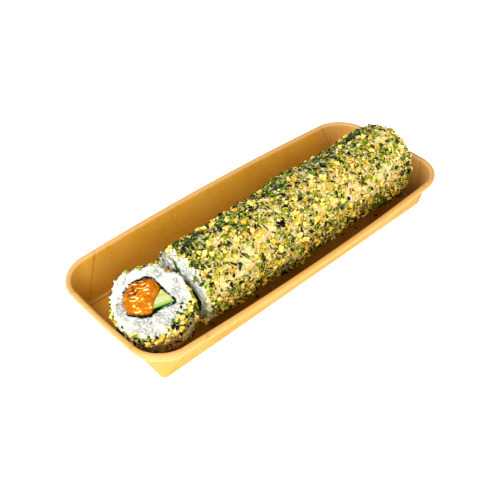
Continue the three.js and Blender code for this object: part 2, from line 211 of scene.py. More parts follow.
def add_piece(name, points, faces, material, slot, smooth=True, replaces=(), **tones):
    """A mesh piece on the part's one body, from points in millimetres. tones are numbers kept
    at its points, for its material"""
    points = np.ascontiguousarray(points, np.float32) * MM
    faces = np.ascontiguousarray(faces, np.int32)
    mesh = bpy.data.meshes.new(name)
    mesh.vertices.add(len(points))
    mesh.vertices.foreach_set("co", points.ravel())
    mesh.loops.add(faces.size)
    mesh.loops.foreach_set("vertex_index", faces.ravel())
    mesh.polygons.add(len(faces))
    mesh.polygons.foreach_set("loop_start", np.arange(0, faces.size, faces.shape[1], dtype=np.int32))
    mesh.polygons.foreach_set("use_smooth", np.full(len(faces), smooth))
    for tone, values in tones.items():
        attribute = mesh.attributes.new(tone, "FLOAT", "POINT")
        attribute.data.foreach_set("value", np.ascontiguousarray(values, np.float32))
    mesh.update(calc_edges=True)
    mesh.validate()
    mesh.materials.append(material)
    piece = bpy.data.objects.new(name, mesh)
    bpy.context.collection.objects.link(piece)
    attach(piece, "root")
    if replaces:
        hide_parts(*replaces)


def grid_faces(rows, columns, closed_rows=False):
    """Four-sided faces of a grid whose columns close into rings"""
    row = np.arange(rows if closed_rows else rows - 1)[:, None]
    column = np.arange(columns)[None]
    here, above = row * columns, ((row + 1) % rows) * columns
    after = (column + 1) % columns
    return np.stack([here + column, here + after, above + after, above + column], -1).reshape(-1, 4)


def ball(level):
    """Points and triangles of a ball of radius 1 made from an icosahedron"""
    golden = (1 + 5 ** 0.5) / 2
    points = [(a, b, 0) for a in (-1, 1) for b in (-golden, golden)]
    points = [(a, b, c) for a, b, c in points] + [(c, a, b) for a, b, c in points]
    points += [(b, c, a) for a, b, c in points[:4]]
    points = unit(np.array(points, float))
    gaps = np.linalg.norm(points[:, None] - points[None], axis=-1)
    near = (gaps > 0) & (gaps < 1.1)
    faces = [
        (i, j, k) for i in range(12) for j in range(i + 1, 12) for k in range(j + 1, 12)
        if near[i, j] and near[j, k] and near[i, k]
    ]
    for _ in range(level):
        points, faces = split_ball(points, faces)
    return points, face_outwards(points, np.array(faces))


def split_ball(points, faces):
    points, middles, split = [tuple(p) for p in points], {}, []

    def middle(i, j):
        key = (min(i, j), max(i, j))
        if key not in middles:
            middles[key] = len(points)
            points.append(tuple(unit(np.array(points[i]) + np.array(points[j]))))
        return middles[key]

    for i, j, k in faces:
        ij, jk, ki = middle(i, j), middle(j, k), middle(k, i)
        split += [(i, ij, ki), (j, jk, ij), (k, ki, jk), (ij, jk, ki)]
    return np.array(points), split


def face_outwards(points, faces):
    """Turns the faces of a shape round the origin so that they look outwards"""
    a, b, c = points[faces[:, 0]], points[faces[:, 1]], points[faces[:, 2]]
    inwards = np.einsum("ij,ij->i", np.cross(b - a, c - a), a + b + c) < 0
    faces[inwards] = faces[inwards][:, ::-1]
    return faces


# a grain's rings from end to end, plain or fine: place along it, radius
PLAIN_GRAIN = [(-0.36, 0.36), (0.0, 0.5), (0.36, 0.34)]
FINE_GRAIN = [(-0.43, 0.27), (-0.24, 0.46), (0.04, 0.5), (0.3, 0.4), (0.44, 0.22)]


def grain_shape(around, profile):
    """A grain of rice along X: length 1 and thickness 1, one end blunter"""
    turn = np.arange(around) / around * 2 * np.pi
    rings = [np.stack([np.full(around, x), r * np.cos(turn), r * np.sin(turn)], 1) for x, r in profile]
    points = np.concatenate([[(-0.5, 0, 0)], *rings, [(0.5, 0, 0)]])
    here, after = np.arange(around), (np.arange(around) + 1) % around
    faces = [np.stack([np.zeros(around, int), 1 + here, 1 + after], 1)]
    for k in range(len(profile) - 1):
        low, high = 1 + k * around, 1 + (k + 1) * around
        faces.append(np.stack([low + here, high + here, high + after], 1))
        faces.append(np.stack([low + here, high + after, low + after], 1))
    last = 1 + (len(profile) - 1) * around
    faces.append(np.stack([np.full(around, len(points) - 1), last + after, last + here], 1))
    return points, face_outwards(points, np.concatenate(faces))


def flake_shape(sides):
    """A flake of width 2 and thickness 1, thin along its edge"""
    turn = np.arange(sides) / sides * 2 * np.pi
    ring = np.stack([np.cos(turn), np.sin(turn), 0 * turn], 1)
    points = np.concatenate([ring, [(0.1, 0, 0.5), (-0.1, 0, -0.5)]])
    here, after = np.arange(sides), (np.arange(sides) + 1) % sides
    faces = np.concatenate([
        np.stack([here, after, np.full(sides, sides)], 1),
        np.stack([after, here, np.full(sides, sides + 1)], 1),
    ])
    return points, faces


ONION_WALL = 0.42


def onion_shape(sweep, steps):
    """Part of a slice of spring onion: a bent bar of outer radius 1 and height 1"""
    closed, hole = sweep >= 360, 1 - ONION_WALL
    turn = np.radians(np.linspace(0, sweep, steps, endpoint=not closed))
    section = [(1.0, -0.42), (1.0, 0.42), (0.9, 0.5), (hole, 0.45), (hole, -0.45), (0.9, -0.5)]
    points = np.array([(r * math.cos(a), r * math.sin(a), z) for a in turn for r, z in section])
    count, faces = len(section), []
    for k in range(steps if closed else steps - 1):
        here, there = k * count, ((k + 1) % steps) * count
        for i in range(count):
            j = (i + 1) % count
            faces += [(here + i, there + i, there + j), (here + i, there + j, here + j)]
    if not closed:
        last = (steps - 1) * count
        for i in range(1, count - 1):
            faces += [(0, i, i + 1), (last, last + i + 1, last + i)]
    centre = points.mean(0) * (not closed)
    return points - centre, np.array(faces)


def scatter(shape, places, axes, sizes, rough, rng, bend=None):
    """Many copies of a small shape in one mesh. axes holds each copy's own x, y and z, sizes
    its three sizes, rough how unevenly its points are pulled in and out, and bend how far its
    ends curl"""
    points, faces = shape
    local = np.repeat(points[None], len(places), 0)
    local = local * (1 + rough * rng.uniform(-1, 1, local.shape[:2]))[..., None]
    if bend is not None:
        local[..., 2] += bend[:, None] * (local[..., 0] ** 2)
    local = local * np.asarray(sizes)[:, None, :]
    world = np.einsum("nvk,nkc->nvc", local, axes) + places[:, None]
    offsets = (np.arange(len(places)) * len(points))[:, None, None]
    return world.reshape(-1, 3), (faces[None] + offsets).reshape(-1, 3), len(points)


def surface_axes(normals, rng, lean):
    """Axes for pieces that lie on a surface: z along the normal, turned at random and leaning
    by about lean degrees"""
    count = len(normals)
    tilt = np.radians(rng.normal(0, 1, count) * lean)
    loose = unit(rng.normal(size=(count, 3)))
    x = unit(np.cross(normals, loose))
    z = normals * np.cos(tilt)[:, None] + x * np.sin(tilt)[:, None]
    side = unit(np.cross(z, x))
    turn = rng.uniform(0, 2 * np.pi, count)
    x2 = unit(np.cross(side, z))
    ahead = x2 * np.cos(turn)[:, None] + side * np.sin(turn)[:, None]
    return np.stack([ahead, np.cross(z, ahead), z], 1)


# Materials


def srgb(red, green, blue):
    """The shader's colour for a colour given in steps from 0 to 255"""
    steps = np.array([red, green, blue]) / 255
    return (*np.where(steps > 0.04045, ((steps + 0.055) / 1.055) ** 2.4, steps / 12.92), 1.0)


def link(tree, node, output, target, into):
    """Joins an output of one node to an input of another"""
    tree.links.new(node.outputs[output], target.inputs[into])


def new_group(name, inputs, output):
    """A shader node group with number sockets, and its input and output nodes"""
    group = bpy.data.node_groups.new(name, "ShaderNodeTree")
    for socket, value in inputs.items():
        made = group.interface.new_socket(socket, in_out="INPUT", socket_type="NodeSocketFloat")
        made.default_value = value
    group.interface.new_socket(output, in_out="OUTPUT", socket_type="NodeSocketFloat")
    return group, group.nodes.new("NodeGroupInput"), group.nodes.new("NodeGroupOutput")


def noise_node(tree, coordinates, detail, roughness=0.5):
    """Noise in the part's own space; its scale is joined to it"""
    noise = tree.nodes.new("ShaderNodeTexNoise")
    noise.inputs["Detail"].default_value = detail
    noise.inputs["Roughness"].default_value = roughness
    link(tree, coordinates, "Object", noise, "Vector")
    return noise


def make_mottle_group():
    """Soft patches between a low and a high value"""
    group, given, result = new_group("mottle", {"Scale": 100, "Low": 0, "High": 1}, "Value")
    noise = noise_node(group, group.nodes.new("ShaderNodeTexCoord"), 3)
    span = group.nodes.new("ShaderNodeMapRange")
    span.inputs["From Min"].default_value, span.inputs["From Max"].default_value = 0.32, 0.68
    link(group, given, "Scale", noise, "Scale")
    link(group, noise, "Fac", span, "Value")
    link(group, given, "Low", span, "To Min")
    link(group, given, "High", span, "To Max")
    link(group, span, "Result", result, "Value")
    return group


def make_relief_group():
    """Coarse and fine unevenness for a bump"""
    group, given, result = new_group(
        "relief", {"Coarse Scale": 300, "Fine Scale": 1500, "Fine Share": 0.4}, "Height")
    where = group.nodes.new("ShaderNodeTexCoord")
    coarse, fine = noise_node(group, where, 2), noise_node(group, where, 4, 0.6)
    mix = group.nodes.new("ShaderNodeMath")
    mix.operation = "MULTIPLY_ADD"
    link(group, given, "Coarse Scale", coarse, "Scale")
    link(group, given, "Fine Scale", fine, "Scale")
    link(group, fine, "Fac", mix, 0)
    link(group, given, "Fine Share", mix, 1)
    link(group, coarse, "Fac", mix, 2)
    link(group, mix, "Value", result, "Height")
    return group


def make_tone_group():
    """A piece's own tone, kept at its points, with a little mottling on top"""
    group, given, result = new_group("tone", {"Mottle": 0.2, "Scale": 800}, "Tone")
    own = group.nodes.new("ShaderNodeAttribute")
    own.attribute_name = "tint"
    noise = noise_node(group, group.nodes.new("ShaderNodeTexCoord"), 3)
    centre, mix = group.nodes.new("ShaderNodeMath"), group.nodes.new("ShaderNodeMath")
    centre.operation, mix.operation = "SUBTRACT", "MULTIPLY_ADD"
    centre.inputs[1].default_value = 0.5
    link(group, given, "Scale", noise, "Scale")
    link(group, noise, "Fac", centre, 0)
    link(group, centre, "Value", mix, 0)
    link(group, given, "Mottle", mix, 1)
    link(group, own, "Fac", mix, 2)
    link(group, mix, "Value", result, "Tone")
    return group


MOTTLE, RELIEF, TONE = make_mottle_group(), make_relief_group(), make_tone_group()


def use_group(tree, group, **values):
    """A group placed in a material, with its own values"""
    node = tree.nodes.new("ShaderNodeGroup")
    node.node_tree = group
    for socket, value in values.items():
        node.inputs[socket.replace("_", " ").title()].default_value = value
    return node


def ramp(tree, source, output, stops):
    """Colours that follow an output of a node: stops are (value, colour)"""
    node = tree.nodes.new("ShaderNodeValToRGB")
    elements = node.color_ramp.elements
    while len(elements) < len(stops):
        elements.new(0.5)
    for element, (value, colour) in zip(elements, stops):
        element.position, element.color = value, srgb(*colour)
    link(tree, source, output, node, "Fac")
    return node


def new_material(name, shine, **values):
    """A material with its shader, whose plain values sit on its own sockets"""
    material = bpy.data.materials.new(name)
    material.use_nodes = True
    shader = material.node_tree.nodes["Principled BSDF"]
    for socket, value in {"Roughness": shine, **values}.items():
        shader.inputs[socket.replace("_", " ")].default_value = value
    return material, material.node_tree, shader


def add_relief(tree, shader, strength, depth, **values):
    """Bump from the relief group; depth in millimetres"""
    relief, bump = use_group(tree, RELIEF, **values), tree.nodes.new("ShaderNodeBump")
    bump.inputs["Strength"].default_value = strength
    bump.inputs["Distance"].default_value = depth * MM
    link(tree, relief, "Height", bump, "Height")
    link(tree, bump, "Normal", shader, "Normal")


def add_gloss_patches(tree, shader, scale, low, high):
    """Roughness that goes from low to high in soft patches"""
    link(tree, use_group(tree, MOTTLE, scale=scale, low=low, high=high), "Value", shader, "Roughness")


def food_material(
        name, stops, gloss, relief, mottle=(0.3, 900), flesh=0.0, reach=1.5, glow=(1.0, 0.75, 0.5),
        shine=0.3, **values):
    """A food's material: its own tones on a ramp of colours; gloss as the scale of its patches
    and the roughness from and to; relief as strength, depth and two scales; mottle as strength
    and scale; and a share, flesh, of light that goes reach millimetres in, its colours as far
    as glow"""
    material, tree, shader = new_material(
        name, gloss[1], Subsurface_Weight=flesh, Subsurface_Scale=reach * MM,
        Subsurface_Radius=glow, Specular_IOR_Level=shine, **values)
    tone = use_group(tree, TONE, mottle=mottle[0], scale=mottle[1])
    link(tree, ramp(tree, tone, "Tone", stops), "Color", shader, "Base Color")
    add_gloss_patches(tree, shader, *gloss)
    add_relief(tree, shader, *relief[:2], coarse_scale=relief[2], fine_scale=relief[3])
    return material


def kraft_material():
    """Kraft board with a thin clear coat: fibres, flecks, painted shade in the creases and over the
    outside, and pale edges that are partly wear and partly painted highlight lines and painted sheen
    """
    material, tree, shader = new_material(
        "kraft_board", 0.5, Specular_IOR_Level=0.2, Coat_Weight=0.04, Coat_Roughness=0.35)
    where = tree.nodes.new("ShaderNodeTexCoord")
    stretch = tree.nodes.new("ShaderNodeMapping")
    stretch.inputs["Scale"].default_value = (350, 1100, 1100)
    link(tree, where, "Object", stretch, "Vector")
    fibres = tree.nodes.new("ShaderNodeTexNoise")
    fibres.inputs["Scale"].default_value = 1.0
    fibres.inputs["Detail"].default_value = 5
    link(tree, stretch, "Vector", fibres, "Vector")
    clouds = use_group(tree, MOTTLE, scale=45, low=-0.16, high=0.16)
    blend = tree.nodes.new("ShaderNodeMath")
    link(tree, fibres, "Fac", blend, 0)
    link(tree, clouds, "Value", blend, 1)
    colours = ramp(tree, blend, "Value", [(0.0, KRAFT_DARK), (0.5, KRAFT), (1.0, KRAFT_LIGHT)])
    colour = colours.outputs["Color"]
    # the crease mark darkens the board with painted shade; the edge mark makes it pale, for wear, painted
    # highlight lines and painted sheen
    for mark, tone in (("crease", KRAFT_PAINTED_SHADE), ("edge", KRAFT_WEAR_AND_SHEEN)):
        own = tree.nodes.new("ShaderNodeAttribute")
        own.attribute_name = mark
        mix = tree.nodes.new("ShaderNodeMix")
        mix.data_type = "RGBA"
        mix.inputs["B"].default_value = srgb(*tone)
        link(tree, own, "Fac", mix, "Factor")
        tree.links.new(colour, mix.inputs["A"])
        colour = mix.outputs["Result"]
    tree.links.new(colour, shader.inputs["Base Color"])
    add_gloss_patches(tree, shader, 60, 0.42, 0.6)
    add_relief(tree, shader, 0.35, 0.12, coarse_scale=260, fine_scale=1900)
    return material


KRAFT, KRAFT_DARK, KRAFT_LIGHT = (214, 164, 68), (196, 140, 48), (212, 168, 104)
# the colour of the painted shade, for the creases and the outside, and the pale of the edges, which is wear
# with painted highlights and painted sheen
KRAFT_PAINTED_SHADE, KRAFT_WEAR_AND_SHEEN = (150, 92, 30), (208, 180, 150)
board = kraft_material()
cut_rice = food_material(
    "cut_rice", [(0.0, (188, 188, 176)), (0.5, (199, 199, 188)), (1.0, (226, 226, 217))],
    gloss=(500, 0.35, 0.55), relief=(0.15, 0.15, 500, 2500), mottle=(0.15, 900), flesh=0.62, reach=1.9,
    glow=(1.0, 0.97, 0.92))
# the top stop, a cool white, serves white rice and the painted sheen on the roll's top and the slice's
# upper side
side_rice = food_material(
    "side_rice", [(0.0, (198, 162, 102)), (0.45, (219, 197, 146)), (0.75, (230, 215, 177)),
                  (1.0, (226, 230, 216))],
    gloss=(500, 0.3, 0.5), relief=(0.3, 0.25, 500, 2500), flesh=0.3, reach=1.4, glow=(1.0, 0.85, 0.65))
crumb = food_material(
    "crumb", [(0.0, (176, 126, 26)), (0.3, (205, 164, 54)), (0.6, (224, 196, 94)),
              (1.0, (242, 231, 170))],
    gloss=(700, 0.35, 0.6), relief=(0.9, 0.5, 900, 3000), mottle=(0.8, 1300), flesh=0.1, reach=0.8)
herb = food_material(
    "dried_herb", [(0.0, (10, 26, 18)), (0.3, (30, 64, 26)), (0.6, (84, 118, 22)),
                   (0.8, (136, 154, 32)), (1.0, (192, 196, 72))],
    gloss=(600, 0.35, 0.65), relief=(0.4, 0.15, 1200, 4000), mottle=(0.35, 1500))
seaweed = food_material(
    "toasted_seaweed", [(0.0, (6, 10, 8)), (0.5, (14, 22, 18)), (1.0, (36, 50, 40))],
    gloss=(400, 0.25, 0.5), relief=(0.5, 0.2, 1300, 4000), mottle=(0.5, 1500))
onion = food_material(
    "spring_onion", [(0.0, (84, 100, 14)), (0.5, (146, 156, 42)), (1.0, (202, 206, 108))],
    gloss=(500, 0.2, 0.4), relief=(0.4, 0.25, 900, 3000), mottle=(0.4, 900), flesh=0.2, reach=1.0)
salmon = food_material(
    "chopped_salmon", [(0.0, (92, 52, 34)), (0.18, (140, 84, 36)), (0.34, (172, 106, 14)),
                       (0.52, (175, 108, 2)), (0.68, (184, 120, 4)), (0.84, (218, 176, 90)),
                       (1.0, (244, 228, 190))],
    gloss=(500, 0.2, 0.4), relief=(0.7, 0.4, 900, 2600), mottle=(0.3, 900), flesh=0.1, reach=0.8,
    glow=(1.0, 0.92, 0.4), shine=0.14, Coat_Weight=0.05, Coat_Roughness=0.05)
# the last stop, dark olive, is the seeds' brown with the salmon's painted shadow
cucumber = food_material(
    "cucumber", [(0.0, (18, 76, 6)), (0.1, (60, 136, 16)), (0.22, (132, 160, 62)),
                 (0.45, (150, 162, 92)), (0.8, (178, 182, 136)), (1.0, (112, 104, 44))],
    gloss=(400, 0.18, 0.32), relief=(0.3, 0.15, 900, 3000), mottle=(0.06, 1200), flesh=0.2, reach=1.5,
    Coat_Weight=0.1, Coat_Roughness=0.15)


# Tray


def loop_size(height):
    """The sizes of the tray's outline at a height between its floor and its rim"""
    share = np.clip((height - BOARD) / (TRAY_HEIGHT - BOARD), 0, 1)
    return {key: FLOOR_LOOP[key] + share * (RIM_LOOP[key] - FLOOR_LOOP[key]) for key in RIM_LOOP}


def loop_stations():
    """Where the tray's section is set up on its way round: (quarter, corner or side, share of
    it), closer together at the creases. Quarters 0 and 2 have the long sides"""
    dense = [0.0, 0.012, 0.028, 0.05]
    arc = dense + list(np.linspace(0.09, 0.91, 13)) + [1 - d for d in dense[::-1]]
    stations = []
    for quarter in range(4):
        stations += [(quarter, "corner", t) for t in arc]
        is_long = quarter % 2 == 0
        half = RIM_LOOP["half_length" if is_long else "half_width"]
        near = [d / (2 * half) for d in (0.5, 1.2, 2.0, 2.8)]
        if is_long:
            near += [d / (2 * half) for d in np.arange(3.6, 15, 0.8)]
        start = near[-1] + 2 / half
        side = near + list(np.linspace(start, 1 - start, int(half / 2))) + [1 - n for n in near[::-1]]
        stations += [(quarter, "side", t) for t in side]
    return stations


def tray_loop(height, outward, stations):
    """The tray's outline at one height, moved outward"""
    size = loop_size(height)
    half = np.array([size["half_length"], size["half_width"]]) + outward
    corner = size["corner"] + outward
    signs = [(1, 1), (-1, 1), (-1, -1), (1, -1)]
    points = []
    for quarter, kind, t in stations:
        centre = np.array(signs[quarter]) * (half - corner)
        if kind == "corner":
            turn = math.radians(90 * (quarter + t))
            points.append(centre + corner * np.array([math.cos(turn), math.sin(turn)]))
        else:
            turn = math.radians(90 * (quarter + 1))
            reach = corner * np.array([math.cos(turn), math.sin(turn)])
            start, end = centre + reach, np.array(signs[(quarter + 1) % 4]) * (half - corner) + reach
            points.append(start + (end - start) * t)
    points = np.array(points)
    share = np.minimum(np.abs(points) / half, 1)
    bow = np.array([size["short_bow"], size["long_bow"]]) * (1 - share[:, ::-1] ** 2)
    return points + np.sign(points) * share ** 2 * bow


def wall_distance(points):
    """How far points inside the tray are from its wall"""
    size = loop_size(points[:, 2])
    half = np.stack([size["half_length"], size["half_width"]], 1)
    over = np.abs(points[:, :2]) - (half - size["corner"][:, None])
    round_corner = size["corner"] - np.hypot(over[:, 0], over[:, 1])
    return np.where((over > 0).all(1), round_corner, size["corner"] - over.max(1))


def tray_section():
    """The tray's section as (outward, height, share of the floor, how strongly creased, how pale and worn).
    How strongly creased sets the crease's dent and its painted shade; how pale and worn is wear along the
    rim's bends and the wall's foot, with painted highlight lines there"""
    height = TRAY_HEIGHT
    section = [(0, BOARD, share, 0, 0) for share in (0.0, 0.35, 0.6, 0.78, 0.9, 0.955)]
    section += [(-2.4, BOARD, 1, 0, 0), (-1.5, BOARD + 0.02, 1, 0, 0.2), (-1.15, BOARD - 0.1, 1, 0.35, 0),
                (-0.85, BOARD + 0.02, 1, 0, 0.1), (-0.5, BOARD + 0.1, 1, 0, 0.5),
                (-0.22, BOARD + 0.24, 1, 0, 0.4), (-0.04, BOARD + 0.6, 1, 0, 0)]
    section += [
        (0, z, 1, 0.3 + 0.7 * (z / height) ** 2, 0)
        for z in np.linspace(BOARD + 1.2, height - 3.4, 12)]
    section += [(0, height - 2.4, 1, 1, 0), (0.02, height - 1.7, 1, 0.9, 0),
                (0.12, height - 1.1, 1, 0.8, 0.2), (0.38, height - 0.55, 1, 0.7, 0.6),
                (0.8, height - 0.2, 1, 0.6, 0.35)]
    section += [(outward, height - down, 1, 0.6, 0.2) for outward, down in (
        (1.3, 0.0), (1.9, 0.0), (2.4, 0.12), (2.85, 0.42), (3.2, 0.85), (3.42, 1.4), (3.55, 2.3),
        (3.5, 3.3))]
    section += [(3.42, height - 3.9, 1, 0.6, 0.25), (3.4, height - 4.3, 1, 0.6, 0.7),
                (3.28, height - 4.7, 1, 0.6, 0.9), (3.1, height - 4.85, 1, 0, 0.9)]
    section += [(outward, height - down, 1, 0, 0) for outward, down in (
        (2.85, 4.75), (2.85, 3.6), (2.9, 2.3), (2.4, 1.0), (1.4, 0.75), (0.75, 1.6), (BOARD, 2.6))]
    section += [(BOARD, z, 1, 0.8, 0) for z in np.linspace(height - 3.6, 1.6, 12)]
    section += [(BOARD - 0.02, 0.9, 1, 0.5, 0.1), (BOARD - 0.12, 0.35, 1, 0, 0.3),
                (BOARD - 0.4, 0.08, 1, 0, 0.2), (BOARD - 0.8, 0, 1, 0, 0)]
    section += [(0, 0, share, 0, 0) for share in (0.96, 0.78, 0.4, 0.0)]
    return section


def crease_marks(stations, height):
    """How creased the wall is at each station, from 0 to 1"""
    size = loop_size(height)
    rise = (height - BOARD) / (TRAY_HEIGHT - BOARD)
    marks = np.zeros(len(stations))
    for k, (quarter, kind, t) in enumerate(stations):
        first, last = {0: FAR_SIDE_CREASES, 2: NEAR_SIDE_CREASES}.get(quarter, (0.0, 0.0))
        if kind == "corner":
            arc = size["corner"] * math.pi / 2
            gap = (t if quarter % 2 == 0 else 1 - t) * arc
        else:
            length = 2 * (size["half_length" if quarter % 2 == 0 else "half_width"] - size["corner"])
            gap = min(abs(t * length - first * rise), abs((1 - t) * length - last * rise))
        marks[k] = math.exp(-(gap / CREASE_WIDTH) ** 2)
    return marks


def painted_sheen(loop, outside):
    """How much paler the board is from painted sheen: outside at the slice's end and on the far side, and
    inside at the other end"""
    x, y = loop[:, 0], loop[:, 1]
    if outside:
        return 0.02 + 0.08 * smooth_step(-x, 60, 112) + 0.1 * smooth_step(y, 20, 45)
    return 0.3 * smooth_step(x, 88, 106) * smooth_step(np.hypot(x - 60, y), 42, 54)


def make_tray():
    """The formed board, its section swept round the outline"""
    stations = loop_stations()
    count = len(stations)
    rows, crease_and_outside_shade, wear_and_sheen_marks = [], [], []
    for outward, height, share, strength, worn in tray_section():
        loop = tray_loop(height, outward, stations) * share
        crease = crease_marks(stations, height)
        dent = unit(loop + TINY) * (CREASE_DEPTH * strength * crease)[:, None]
        rows.append(np.column_stack([loop + dent, np.full(count, height)]))
        # painted shade along the creases, and an even painted shade over the whole outside
        crease_and_outside_shade.append(crease * strength * 0.8 + 0.32 * (outward > 0.5))
        # pale where worn, with painted highlight lines and painted sheen
        wear_and_sheen_marks.append(np.clip(worn + painted_sheen(loop, outward > 0.5), 0, 0.9))
    add_piece(
        "tray_board", np.concatenate(rows), grid_faces(len(rows), count)[:, ::-1], board, "kraft",
        replaces=("tray",), crease=np.concatenate(crease_and_outside_shade), edge=np.concatenate(wear_and_sheen_marks))


# Rice


class RicePiece:
    """A piece of the roll: its cut face, and the skin that runs from the face over its edge
    and along the side. reach is the way along the side from the cut; below 0 it is the way
    inwards over the face. tilt and turn say where the face looks, out how far it lies from
    centre"""

    def __init__(self, centre, tilt, turn, out, radius, wear, press, filling, rounded=False):
        lean, spin = math.radians(tilt), math.radians(turn)
        self.w = np.array([
            math.sin(lean) * math.cos(spin), math.sin(lean) * math.sin(spin), math.cos(lean)])
        self.u = np.array([-math.sin(spin), math.cos(spin), 0.0])
        self.v = np.cross(self.w, self.u)
        self.centre = np.array(centre) + out * self.w
        self.radius, self.wear, self.press, self.rounded = radius, wear, press, rounded
        self.filling = np.array(filling)
        self.bore = outline_radius(np.array(NORI_OUTLINE) + self.filling, (0, 0))

    def at(self, u, v, w):
        """The point in the tray's frame"""
        u, v, w = np.broadcast_arrays(np.asarray(u, float), v, w)
        return self.press(
            self.centre + u[..., None] * self.u + v[..., None] * self.v + w[..., None] * self.w)

    def skin(self, angle, reach):
        """The point of the skin at an angle round it and a reach along it"""
        angle, reach = np.broadcast_arrays(np.asarray(angle, float), reach)
        along, share = np.maximum(reach, 0), 1.0
        if self.rounded:
            turn = np.clip((reach - ROUNDING_START) / ROUNDING_REACH, 0, 1 + CAP_REACH)
            bend = np.radians(90 * np.minimum(turn, 1))
            along = np.where(turn > 0, ROUNDING_START + ROUNDING_DEPTH * np.sin(bend), along)
            share = CAP_SHARE + (1 - CAP_SHARE) * np.cos(bend)
            share = np.where(turn > 1, CAP_SHARE * (1 - (turn - 1) / CAP_REACH), share)
        full = self.radius(angle, along)
        radius = full * share + np.minimum(reach, 0)
        near = 1 - smooth_step(along, 0, CUT_EDGE_DEPTH)
        edge = smooth_step(radius / full, 0.62, 1)
        depth = along + self.wear(angle) * edge ** 2 * near
        turn = np.radians(angle)
        return self.at(radius * np.cos(turn), radius * np.sin(turn), -depth)

    def normal(self, angle, reach):
        round_it = self.skin(angle + 1.2, reach) - self.skin(angle - 1.2, reach)
        along_it = self.skin(angle, reach + 0.4) - self.skin(angle, reach - 0.4)
        return unit(np.cross(along_it, round_it) + TINY)


def roll_radius(angle, along):
    """The roll's radius at an angle, so far along it"""
    sag = SAG * np.maximum(0, -np.sin(np.radians(angle))) ** 2
    near = 1 - smooth_step(along, 0, CUT_EDGE_DEPTH)
    radius = ROLL_RADIUS * (1 + sag) - CUT_EDGE_PINCH * near
    for where, side, height, spread in SWELLINGS:
        aside = angle_between(angle, side) / SWELLING_ANGLE
        radius = radius + height * hill(aside, (along - where) / spread)
    return radius


def slice_radius(angle, along):
    """The slice's radius at an angle, so far along it"""
    turn = np.radians(angle)
    near = 1 - smooth_step(along, 0, CUT_EDGE_DEPTH)
    waves = 0.5 * np.sin(3 * turn + 1), 0.35 * np.sin(5 * turn)
    radius = SLICE_RADIUS + waves[0] + waves[1] - CUT_EDGE_PINCH * near
    for side, height, spread in SLICE_EDGE_LUMPS:
        radius = radius + height * near * near_angle(angle, side, spread)
    foot = near_angle(angle, FOOT_BULGE["angle"], FOOT_BULGE["spread"])
    grown = smooth_step(along, FOOT_BULGE["start"], FOOT_BULGE["full"])
    return radius + FOOT_BULGE["height"] * foot * grown


def slice_wear(angle):
    """How far the slice's cut edge is worn down"""
    return EDGE_WEAR["depth"] * near_angle(angle, EDGE_WEAR["angle"], EDGE_WEAR["spread"])


def press_roll(points):
    """Flattens the roll where it lies on the tray's floor"""
    points[..., 2] = soft_floor(points[..., 2], BOARD + SKIN_GAP, bend=0.4)
    return points


def press_slice(points):
    """Flattens the slice against the roll's cut, the tray's end and the tray's floor"""
    points[..., 0] = -soft_floor(-points[..., 0], SLICE_STOP, bend=0.5)
    end_wall = loop_size(points[..., 2])["half_length"]
    points[..., 0] = soft_floor(points[..., 0], SKIN_GAP - end_wall, bend=0.5)
    points[..., 2] = soft_floor(points[..., 2], BOARD + SKIN_GAP, bend=0.3)
    return points


roll = RicePiece(
    centre=(-71.5, -11.1, 24.4), tilt=90, turn=181.05, out=0, radius=roll_radius,
    wear=lambda angle: 0.0 * angle, press=press_roll, filling=ROLL_FILLING_SHIFT, rounded=True)
cut_slice = RicePiece(
    centre=(-88.6, -6.2, 10.4), tilt=26, turn=-133.5, out=SLICE_LENGTH, radius=slice_radius,
    wear=slice_wear, press=press_slice, filling=(0, 0))


def clumps(points):
    """How far packed rice swells or sinks at a point, over a few grains"""
    x, y, z = points[..., 0], points[..., 1], points[..., 2]
    lengthways = np.sin(x * 0.9 + 2 * np.sin(y * 0.55))
    return 0.4 * lengthways * np.sin(z * 0.8 + y * 0.7 + 1.5 * np.sin(x * 0.6))


def make_rice_body(prefix, body, step, seed, material):
    """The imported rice: a ring of it round the filling, uneven all over"""
    rng = np.random.default_rng(seed)
    angle, c, s = ring_of(BODY_COLUMNS)
    edge, inner = body.radius(angle, 0 * angle), body.bore(angle) + HOLE_GAP
    rows = [body.skin(angle, (inner - edge) * (1 - t)) for t in np.linspace(0, 1, CUT_ROWS + 1)[:-1]]
    if body.rounded:
        end = ROUNDING_START + ROUNDING_REACH * (1 + CAP_REACH) - 0.1
        rows += [body.skin(angle, q) for q in np.arange(0.4, end, step)]
        rows.append(body.skin(angle, end))
    else:
        rows += [body.skin(angle, q) for q in np.arange(0.4, SLICE_LENGTH - 0.3, step)]
        for t in np.linspace(0.96, 0, 9):
            radius = inner + (edge + 0.6 - inner) * t
            rows.append(body.at(radius * c, radius * s, -SLICE_LENGTH))
    points = np.array(rows)
    bumps = rng.uniform(-0.2, 0.25, points.shape[:2])
    centre_line = points.mean(1, keepdims=True)
    points = points + unit(points - centre_line + TINY) * (bumps + clumps(points) * 0.5)[..., None]
    if body.rounded:
        # the bottom of the hole for the filling
        deep = body.at(inner * c, inner * s, -HOLE_DEPTH)
        middle = body.at(0.1 * c, 0.1 * s, -HOLE_DEPTH)
        points = np.concatenate([[middle, deep], points])
    faces = grid_faces(len(points), BODY_COLUMNS, closed_rows=not body.rounded)
    flat = points.reshape(-1, 3)
    flat[:, 2] = np.maximum(flat[:, 2], BOARD + FLOOR_LIFT)
    tint = 0.5 + rng.uniform(-0.1, 0.1, len(flat))
    if body.rounded:
        # its cut shows plain white rice
        tint[:(CUT_ROWS + 2) * BODY_COLUMNS] = 0.95
    add_piece(
        f"{prefix}_rice_body", flat, faces, material, "coated_rice", replaces=(f"{prefix}_rice",),
        tint=tint)


def rice_over_filling(body, angle):
    """How far the rice closes over the top of the roll's own filling"""
    return 6.0 * near_angle(angle, 100, 50) * (body is roll)


def lapping(angle):
    """How far grains lap over the sheet's cut edge above the salmon and above the cucumber"""
    return 0.9 * near_angle(angle, 128, 34) + 0.8 * near_angle(angle, 26, 18)


